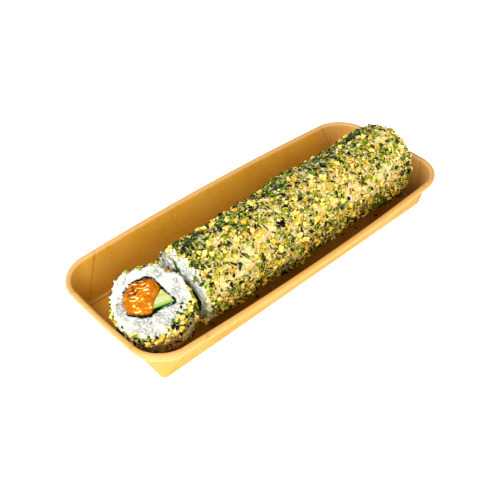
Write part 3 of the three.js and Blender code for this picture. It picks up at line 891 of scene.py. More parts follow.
def clear_of_filling(body, spots, axes, length, width):
    """Moves grains on a cut face outwards until they lie outside the sheet, except on the left,
    where the rice closes over it"""
    aside = spots - body.centre
    u, v = aside @ body.u, aside @ body.v
    angle = np.degrees(np.arctan2(v, u))
    outwards = unit(u[:, None] * body.u + v[:, None] * body.v)
    along = np.einsum("ni,ni->n", axes[:, 0], outwards) * length / 2
    across = np.einsum("ni,ni->n", axes[:, 1], outwards) * width / 2
    margin = 0.5 - 1.6 * near_angle(angle, 184, 30)
    margin = margin - lapping(angle) - rice_over_filling(body, angle)
    short = body.bore(angle) + margin + 0.9 * np.hypot(along, across) - np.hypot(u, v)
    return spots + outwards * np.clip(short, 0, None)[:, None]


def grains_on(name, body, angle, reach, rng, tone, material, lean, sink, plump=1.0, on_cut=False):
    """Grains of rice set into a skin at the given places, their middles as many widths up as
    sink says, from and to. They are plumper and finer on a cut face"""
    spots, normals = body.skin(angle, reach), body.normal(angle, reach)
    spots = spots + normals * clumps(spots)[:, None]
    count = len(spots)
    length, width = rng.normal(*GRAIN_LENGTH, count) * plump, rng.normal(*GRAIN_WIDTH, count) * plump
    flat = width * rng.uniform(0.78, 0.95, count)
    spots = spots + normals * (rng.uniform(*sink, count) * width)[:, None]
    axes = surface_axes(normals, rng, lean)
    if on_cut:
        spots = clear_of_filling(body, spots, axes, length, width)
    keep = (spots[:, 2] > BOARD + GRAIN_ABOVE_FLOOR) & (wall_distance(spots) > GRAIN_FROM_WALL)
    shape = grain_shape(8, FINE_GRAIN) if on_cut else grain_shape(6, PLAIN_GRAIN)
    points, faces, each = scatter(
        shape, spots[keep], axes[keep], np.stack([length, width, flat], 1)[keep],
        rough=0.06, rng=rng, bend=rng.normal(0, 0.25, keep.sum()))
    points[:, 2] = np.maximum(points[:, 2], BOARD + FLOOR_LIFT)
    add_piece(
        name, points, faces, material, "coated_rice", tint=np.repeat(tone(angle, rng)[keep], each))


def place(rng, count, angles, reaches, weight):
    """count places on a skin, as dense as weight says, from 0 to 1"""
    angle, reach = np.zeros(0), np.zeros(0)
    while len(angle) < count:
        a, q = rng.uniform(*angles, 4 * count), rng.uniform(*reaches, 4 * count)
        chosen = rng.random(4 * count) < weight(a, q)
        angle, reach = np.concatenate([angle, a[chosen]]), np.concatenate([reach, q[chosen]])
    return angle[:count], reach[:count]


def face_weight(body):
    """Evenly over a cut face, from the filling to the edge; on the left the rice closes over
    the sheet"""

    def weight(angle, reach):
        radius = body.radius(angle, 0 * angle) + reach
        margin = 1.1 - 1.3 * near_angle(angle, 182, 26) - rice_over_filling(body, angle)
        beyond = reach > -0.4 - body.wear(angle)
        return np.where((radius > body.bore(angle) + margin) & ~beyond, radius / WIDEST, 0)
    return weight


def far_end_weight(reach):
    """Fewer places where the roll's end closes"""
    turn = np.clip((reach - ROUNDING_START) / ROUNDING_REACH, 0, 1 + CAP_REACH)
    return np.where(turn > 0, np.clip(1 - turn / 1.7, 0.05, 1), 1)


def make_rice():
    """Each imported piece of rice, and the grains on its cut and its side"""
    make_rice_body("roll", roll, 1.4, 5, side_rice)
    make_rice_body("slice", cut_slice, 1.3, 6, cut_rice)

    def white(angle, rng):
        return np.clip(rng.normal(0.5, 0.16, len(angle)), 0, 1)

    # the roll's cut grains are whiter than the slice's: painted light against the shade that falls on the
    # roll's cut
    def white_lifted_against_shade(angle, rng):
        return np.clip(rng.normal(0.85, 0.12, len(angle)), 0, 1)

    # beige, paler and cooler towards the roll's top: painted sheen there
    def beige_with_painted_sheen(angle, rng):
        return rng.normal(0.45, 0.14, len(angle)) + 0.42 * smooth_step(angle, 70, 112)

    # paler than the roll's side rice all over, to lift the slice's side out of its shade, and paler still
    # on its upper side: painted light
    def pale_with_painted_light(angle, rng):
        lit = smooth_step(-angle_between(angle, 110), -110, -80)
        return rng.normal(0.74, 0.14, len(angle)) + 0.6 * lit

    def along_roll(angle, reach):
        return far_end_weight(reach)

    def past_wear(angle, reach):
        return 1.0 * (reach > 0.9 - 1.1 * slice_wear(angle))

    rng = np.random.default_rng(7)
    on_slice = dict(material=cut_rice, lean=5, sink=(-0.56, -0.38), plump=1.3, on_cut=True)
    on_roll = dict(material=cut_rice, lean=6, sink=(-0.46, -0.24), plump=1.28, on_cut=True)
    for name, body, count, angles, reaches, weight, tone, details in (
        ("slice_cut", cut_slice, 640, (-180, 180), (-16, -2.1), face_weight(cut_slice), white, on_slice),
        ("roll_cut", roll, 620, (-180, 180), (-19, -1.2), face_weight(roll), white_lifted_against_shade, on_roll),
        ("roll_side", roll, 2400, (-75, 255), (0.5, 192), along_roll, beige_with_painted_sheen,
         dict(material=side_rice, lean=9, sink=(-0.34, -0.08))),
        ("slice_side", cut_slice, 560, (-180, 180), (-4.2, 23), past_wear, pale_with_painted_light,
         dict(material=side_rice, lean=9, sink=(-0.42, -0.2))),
    ):
        angle, reach = place(rng, count, angles, reaches, weight)
        grains_on(f"{name}_grains", body, angle, reach, rng, tone, **details)


# Coating

# where the rice shows through: along, angle, spread along, spread in angle, how bare
ROLL_BARE = [
    (48, 52, 11, 13, 0.7), (29, 38, 10, 14, 0.72), (22, 22, 9, 11, 0.65), (10, 25, 5, 14, 0.5),
    (66, 28, 5, 11, 0.6), (73, 24, 5, 11, 0.6), (100, 60, 5, 7, 0.5), (130, 20, 13, 14, 0.75),
    (152, 32, 14, 17, 0.78), (162, 82, 9, 9, 0.75), (114, 34, 6, 8, 0.5),
]
SLICE_BARE = [
    (14, -78, 11, 34, 0.95), (16, -18, 9, 16, 0.8), (13, -115, 9, 24, 0.7), (20, -45, 9, 30, 0.9),
    (8, -52, 5, 22, 0.5)]

# pieces that stand out, listed one by one: (angle, along, size)
ROLL_CRUMBS = [
    (120, 1, 2.4), (75, 104, 2.3), (65, 97, 1.7), (75, 94, 1.5), (83, 120, 2.0), (112, 124, 1.6),
    (102, 57, 1.8), (99, 61, 1.3), (23, 68, 1.9), (21, 53, 2.0), (41, 69, 1.3), (68, 31, 1.5),
    (-12, 83, 1.9), (-4, 80, 1.5), (43, 92, 1.4), (62, 84, 1.3), (94, 22, 1.8), (22, 44, 1.3),
    (6, 34, 1.3), (-8, 29, 1.5), (-2, 48, 1.7), (8, 6, 1.6), (16, 3, 1.2), (-9, 147, 1.7),
    (-5, 155, 1.7), (-16, 169, 1.6), (105, 151, 1.5), (-1, 115, 2.0), (48, 163, 1.3), (25, 172, 1.4),
    (10, 40, 1.2), (78, 9, 1.6), (62, 21, 1.4),
]
ROLL_ONION = [
    (116, 2, 1.6), (103, 42, 2.3), (97, 39, 1.8), (85, 46, 1.9), (61, 66, 1.3), (35, 59, 1.4),
    (22, 59, 1.6), (35, 32, 1.4), (77, 29, 1.5), (65, 53, 1.4), (106, 84, 1.8), (116, 92, 1.5),
    (52, 86, 1.3), (48, 80, 1.4), (21, 100, 1.6), (63, 92, 1.2), (55, 94, 1.4), (85, 66, 1.5),
    (54, 156, 2.0), (39, 152, 1.7), (42, 162, 1.6), (32, 172, 1.8), (8, 142, 1.7), (27, 155, 1.5),
    (38, 134, 1.5), (26, 139, 1.5), (56, 165, 1.5), (88, 160, 1.6), (3, 5, 2.0), (25, 1, 1.5),
    (-8, 8, 1.8), (-15, 12, 1.9), (-5, 22, 1.6), (34, 43, 1.2), (-8, 170, 1.6), (-12, 60, 1.6),
]
# strips and torn bits: (angle, along) of one end and of the other, width
ROLL_DARK_STRIPS = [
    (35, 2, 30, 9, 2.6), (28, 14, 11, 16, 1.3), (43, 20, 36, 23, 1.0), (28, 41, 19, 40, 1.5),
    (68, 20, 61, 19, 1.1), (-5, 6, -10, 2, 1.5), (26, 79, 23, 86, 1.6), (4, 87, 24, 93, 1.2),
    (51, 106, 37, 104, 1.0), (28, 103, 17, 105, 1.1), (37, 71, 16, 71, 1.2), (54, 58, 47, 63, 3.6),
    (72, 69, 67, 71, 2.0), (102, 59, 92, 60, 1.6), (102, 50, 99, 55, 1.6), (69, 57, 71, 61, 1.2),
    (67, 79, 65, 83, 1.3), (26, 39, 23, 42, 1.5), (112, 145, 124, 151, 4.2), (113, 154, 115, 159, 2.8),
    (100, 154, 84, 157, 1.4), (67, 160, 70, 165, 0.8), (56, 168, 44, 171, 1.1), (48, 146, 39, 143, 2.2),
    (12, 168, 2, 169, 1.8), (88, 124, 76, 124, 2.6), (46, 129, 34, 127, 0.9), (22, 131, 18, 134, 2.0),
    (94, 166, 84, 168, 1.1), (30, 112, 24, 113, 1.8), (-14, 36, -20, 42, 1.6), (-16, 70, -20, 76, 1.6),
]
ROLL_GREEN_STRIPS = [
    (67, 50, 52, 51, 0.9), (53, 39, 53, 44, 0.9), (110, 64, 103, 70, 1.0), (92, 61, 69, 62, 1.1),
    (53, 40, 52, 44, 0.8), (74, 168, 66, 170, 1.3), (108, 72, 104, 80, 1.0), (104, 30, 100, 38, 1.0),
    (60, 138, 54, 144, 0.9), (12, 120, 8, 126, 1.0), (98, 100, 96, 108, 0.9), (-12, 140, -10, 147, 1.1),
]
SLICE_CRUMBS = [
    (11, 9, 1.4), (-6, 1.5, 0.8), (-24, 2.5, 1.2), (-26, -0.5, 1.1), (-22, 8.2, 1.0), (-47, 1.5, 1.5),
    (-45, 9.8, 1.4), (-47, -0.8, 1.2), (-40, 4.8, 1.3), (-8, 21, 1.2), (-67, -0.5, 1.2), (-61, 0, 1.0),
    (-71, 7.8, 1.1), (179, 0.5, 0.9), (-170, 4.2, 1.0), (-150, 2.8, 1.0), (-143, 1.2, 1.0),
    (-126, 5.8, 1.0), (-115, 7.5, 1.2), (-114, -0.5, 0.9), (-89, 4.8, 1.8), (20, 4.5, 1.4),
    (-82, 0.8, 1.0), (-29, -2.8, 0.8), (-37, -3.5, 0.7), (-58, 16, 1.1),
]
SALMON_SPECKS = [
    (-174, -2.5, 0.5), (-172, -5.5, 0.5), (-160, -7.2, 0.6), (171, -7.8, 0.45), (-144, -9.0, 0.45),
]
SLICE_ONION = [
    (7, 13.5, 2.0), (-14, 19, 1.7), (-32, 21, 1.5), (-67, 15.2, 1.4), (-160, 5.2, 1.3),
    (-108, -0.8, 1.3), (-88, -0.5, 1.0), (129, 0, 1.6), (109, -0.3, 1.2), (89, -0.2, 1.2), (-20, -3.8, 0.7),
]
SLICE_DARK_STRIPS = [
    (-7, -4.2, -11, -3, 1.1), (-23, -0.8, -13, 3.5, 0.9), (-48, -2.8, -39, -2.5, 1.5),
    (-39, -2.5, -30, -1.2, 0.9), (-48, -2.4, -45, -0.8, 1.0), (-45, -0.8, -37, -0.3, 1.6),
    (-34, 0, -29, 5, 0.9), (-29, 5, -27, 12, 0.9), (-36, 13, -43, 13, 0.8), (-54, 12.8, -45, 16.5, 1.0),
    (-62, 12, -60, 14, 1.0), (-78, -1.2, -75, 0, 1.4), (-73, 3, -70, 5, 1.1), (-26, 20, -24, 22, 1.3),
    (-123, 8, -114, 7, 1.3), (-112, 3.5, -104, 5, 1.1), (-142, 5.2, -134, 7, 1.2), (1, -0.5, 4, 0.8, 1.2),
    (-156, 7, -150, 9, 1.5), (-96, 4, -92, 6, 0.9),
]
SLICE_GREEN_STRIPS = [
    (-22, -4.5, -20, -3.2, 1.1), (-21, -3, -17, -2, 0.9), (-135, -1.2, -131, -0.4, 0.9),
    (-110, -0.4, -104, 0.2, 1.6), (-90, -1.2, -86, -0.4, 1.0), (-30, 22, -26, 23, 1.2),
]
# what has fallen to the tray's floor: x, y, size
FLOOR_CRUMBS = [(97.8, -15.6, 1.2), (-56.0, -29.5, 0.8), (-20.5, -27.8, 0.7), (88.0, -25.0, 0.8)]
FLOOR_ONION = [(103.3, -24.0, 2.3), (-64.4, -25.7, 1.3)]
FLOOR_HERB = [
    (-31.2, -27.1, 1.3), (56.7, -25.5, 1.1), (75.3, -26.5, 1.2), (45.1, -23.9, 1.0), (-60.0, -30.0, 0.9),
    (20.0, 13.0, 1.2), (-48.0, -31.5, 0.8), (94.0, -22.0, 1.0), (60.0, 17.0, 1.1),
]


# how many of each kind the roll gets; the slice gets a share of it
COUNTS = dict(
    crumbs=820, fine_crumbs=4300, herb_flakes=11800, seaweed_flakes=800, onion_rings=14,
    onion_arcs=70, onion_bits=470, powder=6500)
ONION_RADIUS = 1.7
# half a torn strip's thickness
STRIP_HALF = 0.11
# a lump's length, width and height for a size of 1
LUMP_STRETCH = (1.1, 0.95, 0.85)


def bareness(angle, along, bare_spots):
    """How much the rice shows through, from 0 to 1"""
    bare = 0 * angle
    for where, side, spread, spread_angle, strength in bare_spots:
        aside = angle_between(angle, side) / spread_angle
        bare = bare + strength * hill((along - where) / spread, aside)
    return np.clip(bare, 0, 1)


def roll_cover(angle, reach):
    """How thick the seasoning lies on the roll, from 0 to 1"""
    over_edge = np.where(reach < 0, 0.07 + 0.5 * (angle < 8), 1.0)
    return (1 - bareness(angle, reach, ROLL_BARE)) * far_end_weight(reach) * over_edge


def slice_cover(angle, reach):
    """How thick the seasoning lies on the slice, from 0 to 1: less near its cut where it faces
    the roll, and at the top"""
    worn = 1.15 * slice_wear(angle)
    over_edge = 0.005 + 0.55 * (worn > 0.8) * smooth_step(reach + worn, 0, 0.5 * worn + 0.01)
    near_roll = smooth_step(-angle_between(angle, 48), -52, -36)
    facing_roll = 1 - 0.85 * near_roll * smooth_step(-reach, -14, -4)
    near_top = smooth_step(-angle_between(angle, 120), -95, -60)
    away = 1 - 0.95 * near_top * smooth_step(-reach, -7, -2)
    covered = (1 - bareness(angle, reach, SLICE_BARE)) * np.where(reach < 0, over_edge, 1.0)
    return covered * facing_roll * away


def bands(angle):
    """How much a place lies in the darker, greener band above, and in the one below"""
    return smooth_step(angle, 68, 106), 1 - smooth_step(angle, -22, 8)


def patches(angle, reach, shift):
    """Where one kind lies thicker, from 0 to 1, over a few millimetres"""
    a = angle * 0.37
    along = np.sin(reach * 0.55 + 1.7 * np.sin(a * 0.31 + shift))
    around = np.sin(a * 0.62 + 2.1 * np.sin(reach * 0.23 + 2 * shift))
    return np.clip(0.5 + 0.32 * (along + around), 0, 1)


def spaced(spots, gap):
    """Which spots to keep so that no two are nearer than gap"""
    taken, keep = {}, np.zeros(len(spots), bool)
    for k, spot in enumerate(spots):
        cell = tuple(np.floor(spot / gap).astype(int))
        near = [
            other
            for dx in (-1, 0, 1) for dy in (-1, 0, 1) for dz in (-1, 0, 1)
            for other in taken.get((cell[0] + dx, cell[1] + dy, cell[2] + dz), ())
        ]
        if all(np.sum((spot - other) ** 2) > gap * gap for other in near):
            taken.setdefault(cell, []).append(spot)
            keep[k] = True
    return keep


class Coating:
    """The seasoning on one rice piece. clear says which places are free of the tray and the
    roll, depth how deep the loose layer is"""

    def __init__(self, prefix, body, angles, reaches, seed, clear, depth=1.0):
        self.prefix, self.body, self.angles, self.reaches = prefix, body, angles, reaches
        self.rng, self.clear, self.depth = np.random.default_rng(seed), clear, depth

    def spots(self, weight, lift, size, gap=0.0):
        """Places, normals and sizes, as dense as weight says, each lifted by lift times its size"""
        angle, reach = place(self.rng, len(size), self.angles, self.reaches, weight)
        normals = self.body.normal(angle, reach)
        where = self.body.skin(angle, reach) + normals * (lift * size)[:, None]
        keep = self.clear(where, size)
        if gap:
            keep &= spaced(where, gap)
        return where[keep], normals[keep], size[keep]

    def loose_spots(self, weight, lift, size, low, high):
        """Places as above, raised at random through the loose layer, from low to high"""
        where, normals, size = self.spots(weight, lift, size)
        raised = self.depth * self.rng.uniform(low, high, len(size))
        return where + normals * raised[:, None], normals, size

    def add(self, kind, parts, material, slot="coated_rice", smooth=True):
        """Joins parts, each (points, faces, tint), into one piece"""
        offset, points, faces, tints = 0, [], [], []
        for part_points, part_faces, tint in parts:
            points.append(part_points)
            faces.append(part_faces + offset)
            tints.append(tint)
            offset += len(part_points)
        points = np.concatenate(points)
        points[:, 2] = np.maximum(points[:, 2], BOARD + FLOOR_LIFT)
        add_piece(
            f"{self.prefix}_{kind}", points, np.concatenate(faces), material, slot,
            smooth=smooth, tint=np.concatenate(tints))

    def lumps(self, shape, where, normals, size, tint, rough):
        rng = self.rng
        axes = surface_axes(normals, rng, 40)
        sizes = size[:, None] * rng.uniform(0.72, 1.15, (len(size), 3)) * np.array(LUMP_STRETCH)
        points, faces, each = scatter(shape, where, axes, sizes, rough=rough, rng=rng)
        return points, faces, np.repeat(tint, each) + rng.uniform(-0.08, 0.08, len(points))

    def flakes(self, where, normals, length, width, thickness, lean, curl, tint, sides):
        rng = self.rng
        axes = surface_axes(normals, rng, lean)
        sizes = np.stack([length / 2, width / 2, np.full(len(length), thickness)], 1)
        points, faces, each = scatter(
            flake_shape(sides), where, axes, sizes, rough=0.32, rng=rng,
            bend=rng.normal(0, curl, len(where)) / thickness)
        return points, faces, np.repeat(tint, each) + rng.uniform(-0.07, 0.07, len(points))

    def set_lumps(self, spots, tint, stretch=LUMP_STRETCH, rough=0.14, knobs=3):
        """Lumps given one by one, each with a few smaller knobs grown on to it"""
        rng, spots = self.rng, np.array(spots, float)
        normals = self.body.normal(spots[:, 0], spots[:, 1])
        where = self.body.skin(spots[:, 0], spots[:, 1]) + normals * (0.5 * spots[:, 2])[:, None]
        parts, sets = [], [(where, spots[:, 2] * 0.85)]
        for smaller in (0.6, 0.5, 0.45)[:knobs]:
            aside = unit(np.cross(normals, rng.normal(size=normals.shape)) + 0.5 * normals)
            sets.append((where + aside * (0.75 * spots[:, 2])[:, None], smaller * spots[:, 2]))
        for at, size in sets:
            axes = surface_axes(normals, rng, 20)
            sizes = size[:, None] * np.array(stretch) * rng.uniform(0.85, 1.1, (len(size), 3))
            points, faces, each = scatter(ball(2), at, axes, sizes, rough=rough, rng=rng)
            parts.append((points, faces, np.repeat(rng.normal(tint, 0.12, len(at)), each)))
        return parts

    def set_strips(self, ends, tint):
        """Torn strips given one by one, bent over what they lie on"""
        rng, stations, parts = self.rng, 9, []
        for angle, along, last_angle, last_along, width in ends:
            t = np.linspace(0, 1, stations)
            angles, reaches = angle + (last_angle - angle) * t, along + (last_along - along) * t
            normals = self.body.normal(angles, reaches)
            arch = 0.7 + rng.uniform(0.2, 0.7) * np.sin(np.pi * t) + rng.normal(0, 0.12, stations)
            line = self.body.skin(angles, reaches) + normals * arch[:, None]
            ahead = unit(np.gradient(line, axis=0))
            side = unit(np.cross(normals, ahead) + normals * rng.normal(0, 0.3))
            taper = np.sqrt(np.clip(1.12 - (2 * t - 1) ** 2, 0, 1)) * 0.5 * width
            left = taper * (1 + rng.normal(0, 0.18, stations))
            right = taper * (1 + rng.normal(0, 0.18, stations))
            thick = normals * STRIP_HALF
            one_edge, other_edge = line + side * left[:, None], line - side * right[:, None]
            ring = np.stack([
                one_edge + thick, line + thick * 1.8, other_edge + thick,
                other_edge - thick, line - thick * 0.2, one_edge - thick], 1)
            faces = []
            for k in range(stations - 1):
                for i in range(6):
                    a, b = 6 * k + i, 6 * k + (i + 1) % 6
                    faces += [(a, b, b + 6), (a, b + 6, a + 6)]
            last = 6 * (stations - 1)
            for i in range(1, 5):
                faces += [(0, i + 1, i), (last, last + i, last + i + 1)]
            shade = np.clip(rng.normal(tint, 0.15) + rng.normal(0, 0.08, 6 * stations), 0, 1)
            parts.append((ring.reshape(-1, 3), np.array(faces), shade))
        return parts


def coat(coating, cover, share):
    """All kinds of seasoning on a piece; share is how much of it, where the roll has 1"""
    rng = coating.rng
    number = {kind: int(count * share) for kind, count in COUNTS.items()}

    def thin_everywhere(angle, reach):
        return np.minimum(8 * cover(angle, reach), 1)

    def yellow(angle, reach):
        upper, lower = bands(angle)
        density = (1 - 0.5 * upper) * (1 - 0.1 * lower) * (0.45 + 0.55 * patches(angle, reach, 0.4))
        return cover(angle, reach) * density

    def green(angle, reach):
        upper, lower = bands(angle)
        near_cut = 0.5 * np.exp(-(reach / 16) ** 2) * smooth_step(angle, 30, 70)
        density = 0.62 + 0.38 * upper + 0.28 * lower + near_cut
        density = density * (0.35 + 0.65 * patches(angle, reach, 2.5))
        return np.clip(cover(angle, reach) * density, 0, 1) + 0.04 * thin_everywhere(angle, reach)

    def dark(angle, reach):
        upper, lower = bands(angle)
        density = 0.2 + 0.8 * upper + 0.4 * lower
        return np.clip(cover(angle, reach) * density, 0, 1) + 0.02 * thin_everywhere(angle, reach)

    def anywhere(angle, reach):
        return cover(angle, reach) + 0.08 * thin_everywhere(angle, reach)

    # each crumb is a lump with four smaller knobs; the knobs are paler than the lump as painted highlights,
    # which leaves the lump darker like painted shade between them
    big = 0.85 + 1.3 * rng.random(number["crumbs"]) ** 1.7
    where, normals, size = coating.spots(yellow, 0.6, big, gap=1.7)
    tint = rng.normal(0.46, 0.16, len(size))
    parts = [coating.lumps(ball(1), where, normals, size * 0.85, tint, rough=0.24)]
    for _ in range(4):
        sideways = np.cross(normals, rng.normal(size=normals.shape))
        aside = unit(sideways + normals * rng.uniform(0, 1, (len(size), 1)))
        knob = size * rng.uniform(0.32, 0.55, len(size))
        parts.append(coating.lumps(
            ball(0), where + aside * (size * 0.72)[:, None], normals, knob,
            tint + rng.uniform(0, 0.5, len(size)), rough=0.25))
    coating.add("crumbs", parts, crumb)

    small = rng.uniform(0.35, 0.85, number["fine_crumbs"])
    where, normals, size = coating.loose_spots(yellow, 0.5, small, 0, 1.0)
    tint = rng.normal(0.62, 0.25, len(size))
    coating.add(
        "fine_crumbs", [coating.lumps(ball(0), where, normals, size, tint, rough=0.28)], crumb)

    count = number["herb_flakes"]
    length = rng.uniform(0.8, 2.2, count) + rng.exponential(0.5, count)
    where, normals, length = coating.loose_spots(green, 0.12, length, 0.1, 1.7)
    width = length * rng.uniform(0.22, 0.68, len(length))
    tint = np.clip(rng.choice([0.1, 0.34, 0.6, 0.88], len(length), p=[0.17, 0.27, 0.3, 0.26])
                   + rng.normal(0, 0.08, len(length)), 0, 1)
    coating.add("herb_flakes", [
        coating.flakes(where, normals, length, width, 0.3, 28, 0.25, tint, sides=6)], herb, smooth=False)

    length = rng.uniform(1.2, 3.8, number["seaweed_flakes"])
    where, normals, length = coating.loose_spots(dark, 0.1, length, 0.5, 1.8)
    width = length * rng.uniform(0.3, 0.75, len(length))
    coating.add("seaweed_flakes", [
        coating.flakes(where, normals, length, width, 0.22, 20, 0.3, rng.random(len(length)), sides=8)],
        seaweed, slot="nori", smooth=False)

    parts = []
    for kind, sweep, steps in (("onion_rings", 360, 12), ("onion_arcs", 200, 8)):
        size = ONION_RADIUS * rng.uniform(0.75, 1.25, number[kind])
        where, normals, size = coating.spots(yellow, 0.42, size, gap=3.0)
        axes = surface_axes(normals, rng, 24)
        sizes = size[:, None] * np.array([1.0, 0.9, 0.75])
        points, faces, each = scatter(
            onion_shape(sweep, steps), where, axes, sizes, rough=0.06, rng=rng)
        # paler on one side of the wall
        rim = np.tile(np.where(np.arange(each) % 6 < 3, -0.22, 0.2), len(where))
        parts.append((points, faces, np.repeat(rng.normal(0.45, 0.15, len(where)), each) + rim))
    size = 0.6 + 0.8 * rng.random(number["onion_bits"]) ** 1.3
    where, normals, size = coating.spots(yellow, 0.5, size, gap=2.0)
    axes = surface_axes(normals, rng, 18)
    sizes = size[:, None] * rng.uniform([0.95, 0.7, 0.55], [1.35, 0.95, 0.75], (len(size), 3))
    points, faces, each = scatter(ball(1), where, axes, sizes, rough=0.08, rng=rng)
    parts.append((points, faces, np.repeat(rng.normal(0.42, 0.18, len(where)), each)))
    coating.add("spring_onion", parts, onion)

    size = rng.uniform(0.16, 0.36, number["powder"])
    where, normals, size = coating.spots(anywhere, 0.4, size)
    where = where + normals * rng.uniform(0, 0.5, len(size))[:, None]
    corners = np.array([(1, 0, 0), (-1, 0, 0), (0, 1, 0), (0, -1, 0), (0, 0, 1), (0, 0, -1)], float)
    sides = np.array([(a, b, c) for a in (0, 1) for b in (2, 3) for c in (4, 5)])
    speck = corners, face_outwards(corners, sides)
    green_ones = rng.random(len(size)) < 0.45
    for kind, chosen, material in (("powder", ~green_ones, crumb), ("green_powder", green_ones, herb)):
        tint = rng.uniform(0.4, 1, chosen.sum())
        lumps = coating.lumps(speck, where[chosen], normals[chosen], size[chosen], tint, rough=0.1)
        coating.add(kind, [lumps], material, smooth=False)


def set_by_hand(coating, crumbs, onions, dark_strips, green_strips):
    """The pieces that stand out"""
    coating.add("large_crumbs", coating.set_lumps(crumbs, 0.7), crumb)
    coating.add("onion_pieces", coating.set_lumps(onions, 0.4, (1.2, 0.8, 0.65), 0.06, knobs=1), onion)
    coating.add("seaweed_strips", coating.set_strips(dark_strips, 0.35), seaweed, slot="nori")
    coating.add("leaf_strips", coating.set_strips(green_strips, 0.36), herb)


def make_fallen():
    """What lies loose on the tray's floor"""
    rng = np.random.default_rng(35)
    for name, spots, shape, lift, material, flat, tint in (
        ("fallen_crumbs", FLOOR_CRUMBS, ball(1), 0.7, crumb, (1.0, 0.9, 0.8), 0.6),
        ("fallen_herb", FLOOR_HERB, flake_shape(6), 0.3, herb, (1.0, 0.6, 0.2), 0.4),
        ("fallen_onion", FLOOR_ONION, onion_shape(360, 14), 0.5, onion, (1.0, 0.9, 0.8), 0.5),
    ):
        x, y, size = np.array(spots).T
        where = np.column_stack([x, y, BOARD + lift * size])
        upwards = np.tile((0.0, 0.0, 1.0), (len(size), 1))
        points, faces, each = scatter(
            shape, where, surface_axes(upwards, rng, 5), size[:, None] * np.array(flat),
            rough=0.1, rng=rng)
        tints = np.repeat(rng.normal(tint, 0.1, len(size)), each)
        add_piece(name, points, faces, material, "coated_rice", tint=tints)


def make_coating():
    """The seasoning on the roll and the slice, and what has fallen off"""

    def clear_of_tray(where, size):
        return (where[:, 2] > BOARD + 0.8 + size * 0.5) & (wall_distance(where) > size * 0.8)

    def clear_of_roll(where, size):
        return clear_of_tray(where, size) & (where[:, 0] < -SEASONING_STOP - size * 0.3)

    roll_coating = Coating("roll", roll, (-75, 255), (-2.4, 190), 31, clear_of_tray)
    coat(roll_coating, roll_cover, 1.0)
    set_by_hand(roll_coating, ROLL_CRUMBS, ROLL_ONION, ROLL_DARK_STRIPS, ROLL_GREEN_STRIPS)
    slice_coating = Coating("slice", cut_slice, (-180, 180), (-4.5, 23), 32, clear_of_roll, depth=0.5)
    coat(slice_coating, slice_cover, 0.15)
    set_by_hand(slice_coating, SLICE_CRUMBS, SLICE_ONION, SLICE_DARK_STRIPS, SLICE_GREEN_STRIPS)
    slice_coating.add(
        "salmon_specks", slice_coating.set_lumps(SALMON_SPECKS, 0.5, knobs=0), salmon, slot="salmon")
    make_fallen()


# Filling

# chopped pieces of salmon on the cut: u, v, length, width, turn, tone, stripes
CHOPPED = [
    (-9.2, 4.8, 8.5, 5.4, 32, 0.3, 1.0), (-4.8, 8.8, 9.0, 4.8, 10, 0.36, 1.0),
    (0.8, 9.4, 6.0, 5.4, -40, 0.4, 0.5), (2.2, 5.4, 5.0, 5.6, 70, 0.44, 0.3),
    (-3.0, 4.2, 7.0, 5.2, 25, 0.6, 0.4), (-8.6, 0.6, 7.4, 4.6, 12, 0.54, 0.7),
    (-2.2, 0.0, 6.5, 5.5, -20, 0.64, 0.2), (-10.4, -2.6, 5.0, 4.6, 60, 0.5, 0.3),
    (-6.6, -4.4, 6.6, 4.6, -8, 0.62, 0.35), (-1.6, -4.8, 6.4, 4.8, 15, 0.58, 0.3),
    (0.8, -1.2, 4.0, 5.4, 80, 0.58, 0.2), (-12.0, 1.6, 3.4, 4.6, 80, 0.42, 0.3),
]
# distance of the salmon's pale lines from each other
SALMON_LINE_GAP = 2.1
# small bits on the salmon: u, v, size, tone; the palest are painted glints, the dark ones darker bits
SALMON_BITS_AND_GLINTS = [
    (-6.4, 1.6, 0.8, 0.97), (-3.4, 1.0, 0.7, 0.9), (-7.6, -2.8, 0.8, 0.96), (-5.2, -3.8, 0.6, 0.9),
    (-2.2, 6.0, 0.7, 0.85), (0.4, 7.2, 0.8, 0.3), (-0.6, 3.0, 0.6, 0.32), (-10.6, 0.0, 0.8, 0.3),
    (-4.2, -5.4, 0.6, 0.97), (1.2, -3.2, 0.6, 0.85), (-8.8, -4.6, 0.7, 0.32), (2.6, 8.0, 0.7, 0.16),
    (-6.8, 10.2, 0.9, 0.12), (-11.2, 3.4, 0.9, 0.12), (-9.2, 7.2, 0.8, 0.1), (-2.6, 10.6, 0.8, 0.2),
]


def make_scraps():
    """Middles of the finely chopped scraps on the cut, and how much lighter each one is"""
    rng, tries = np.random.default_rng(44), 900
    u, v = rng.uniform(-14.5, 5.5, tries), rng.uniform(-8.5, 13.8, tries)
    spots = np.column_stack([u, v, np.zeros(tries)])
    spots = spots[spaced(spots, 1.15)]
    spots[:, 2] = rng.normal(0, 0.2, len(spots)) + 0.35 * (rng.random(len(spots)) < 0.1)
    return spots


SCRAPS = make_scraps()


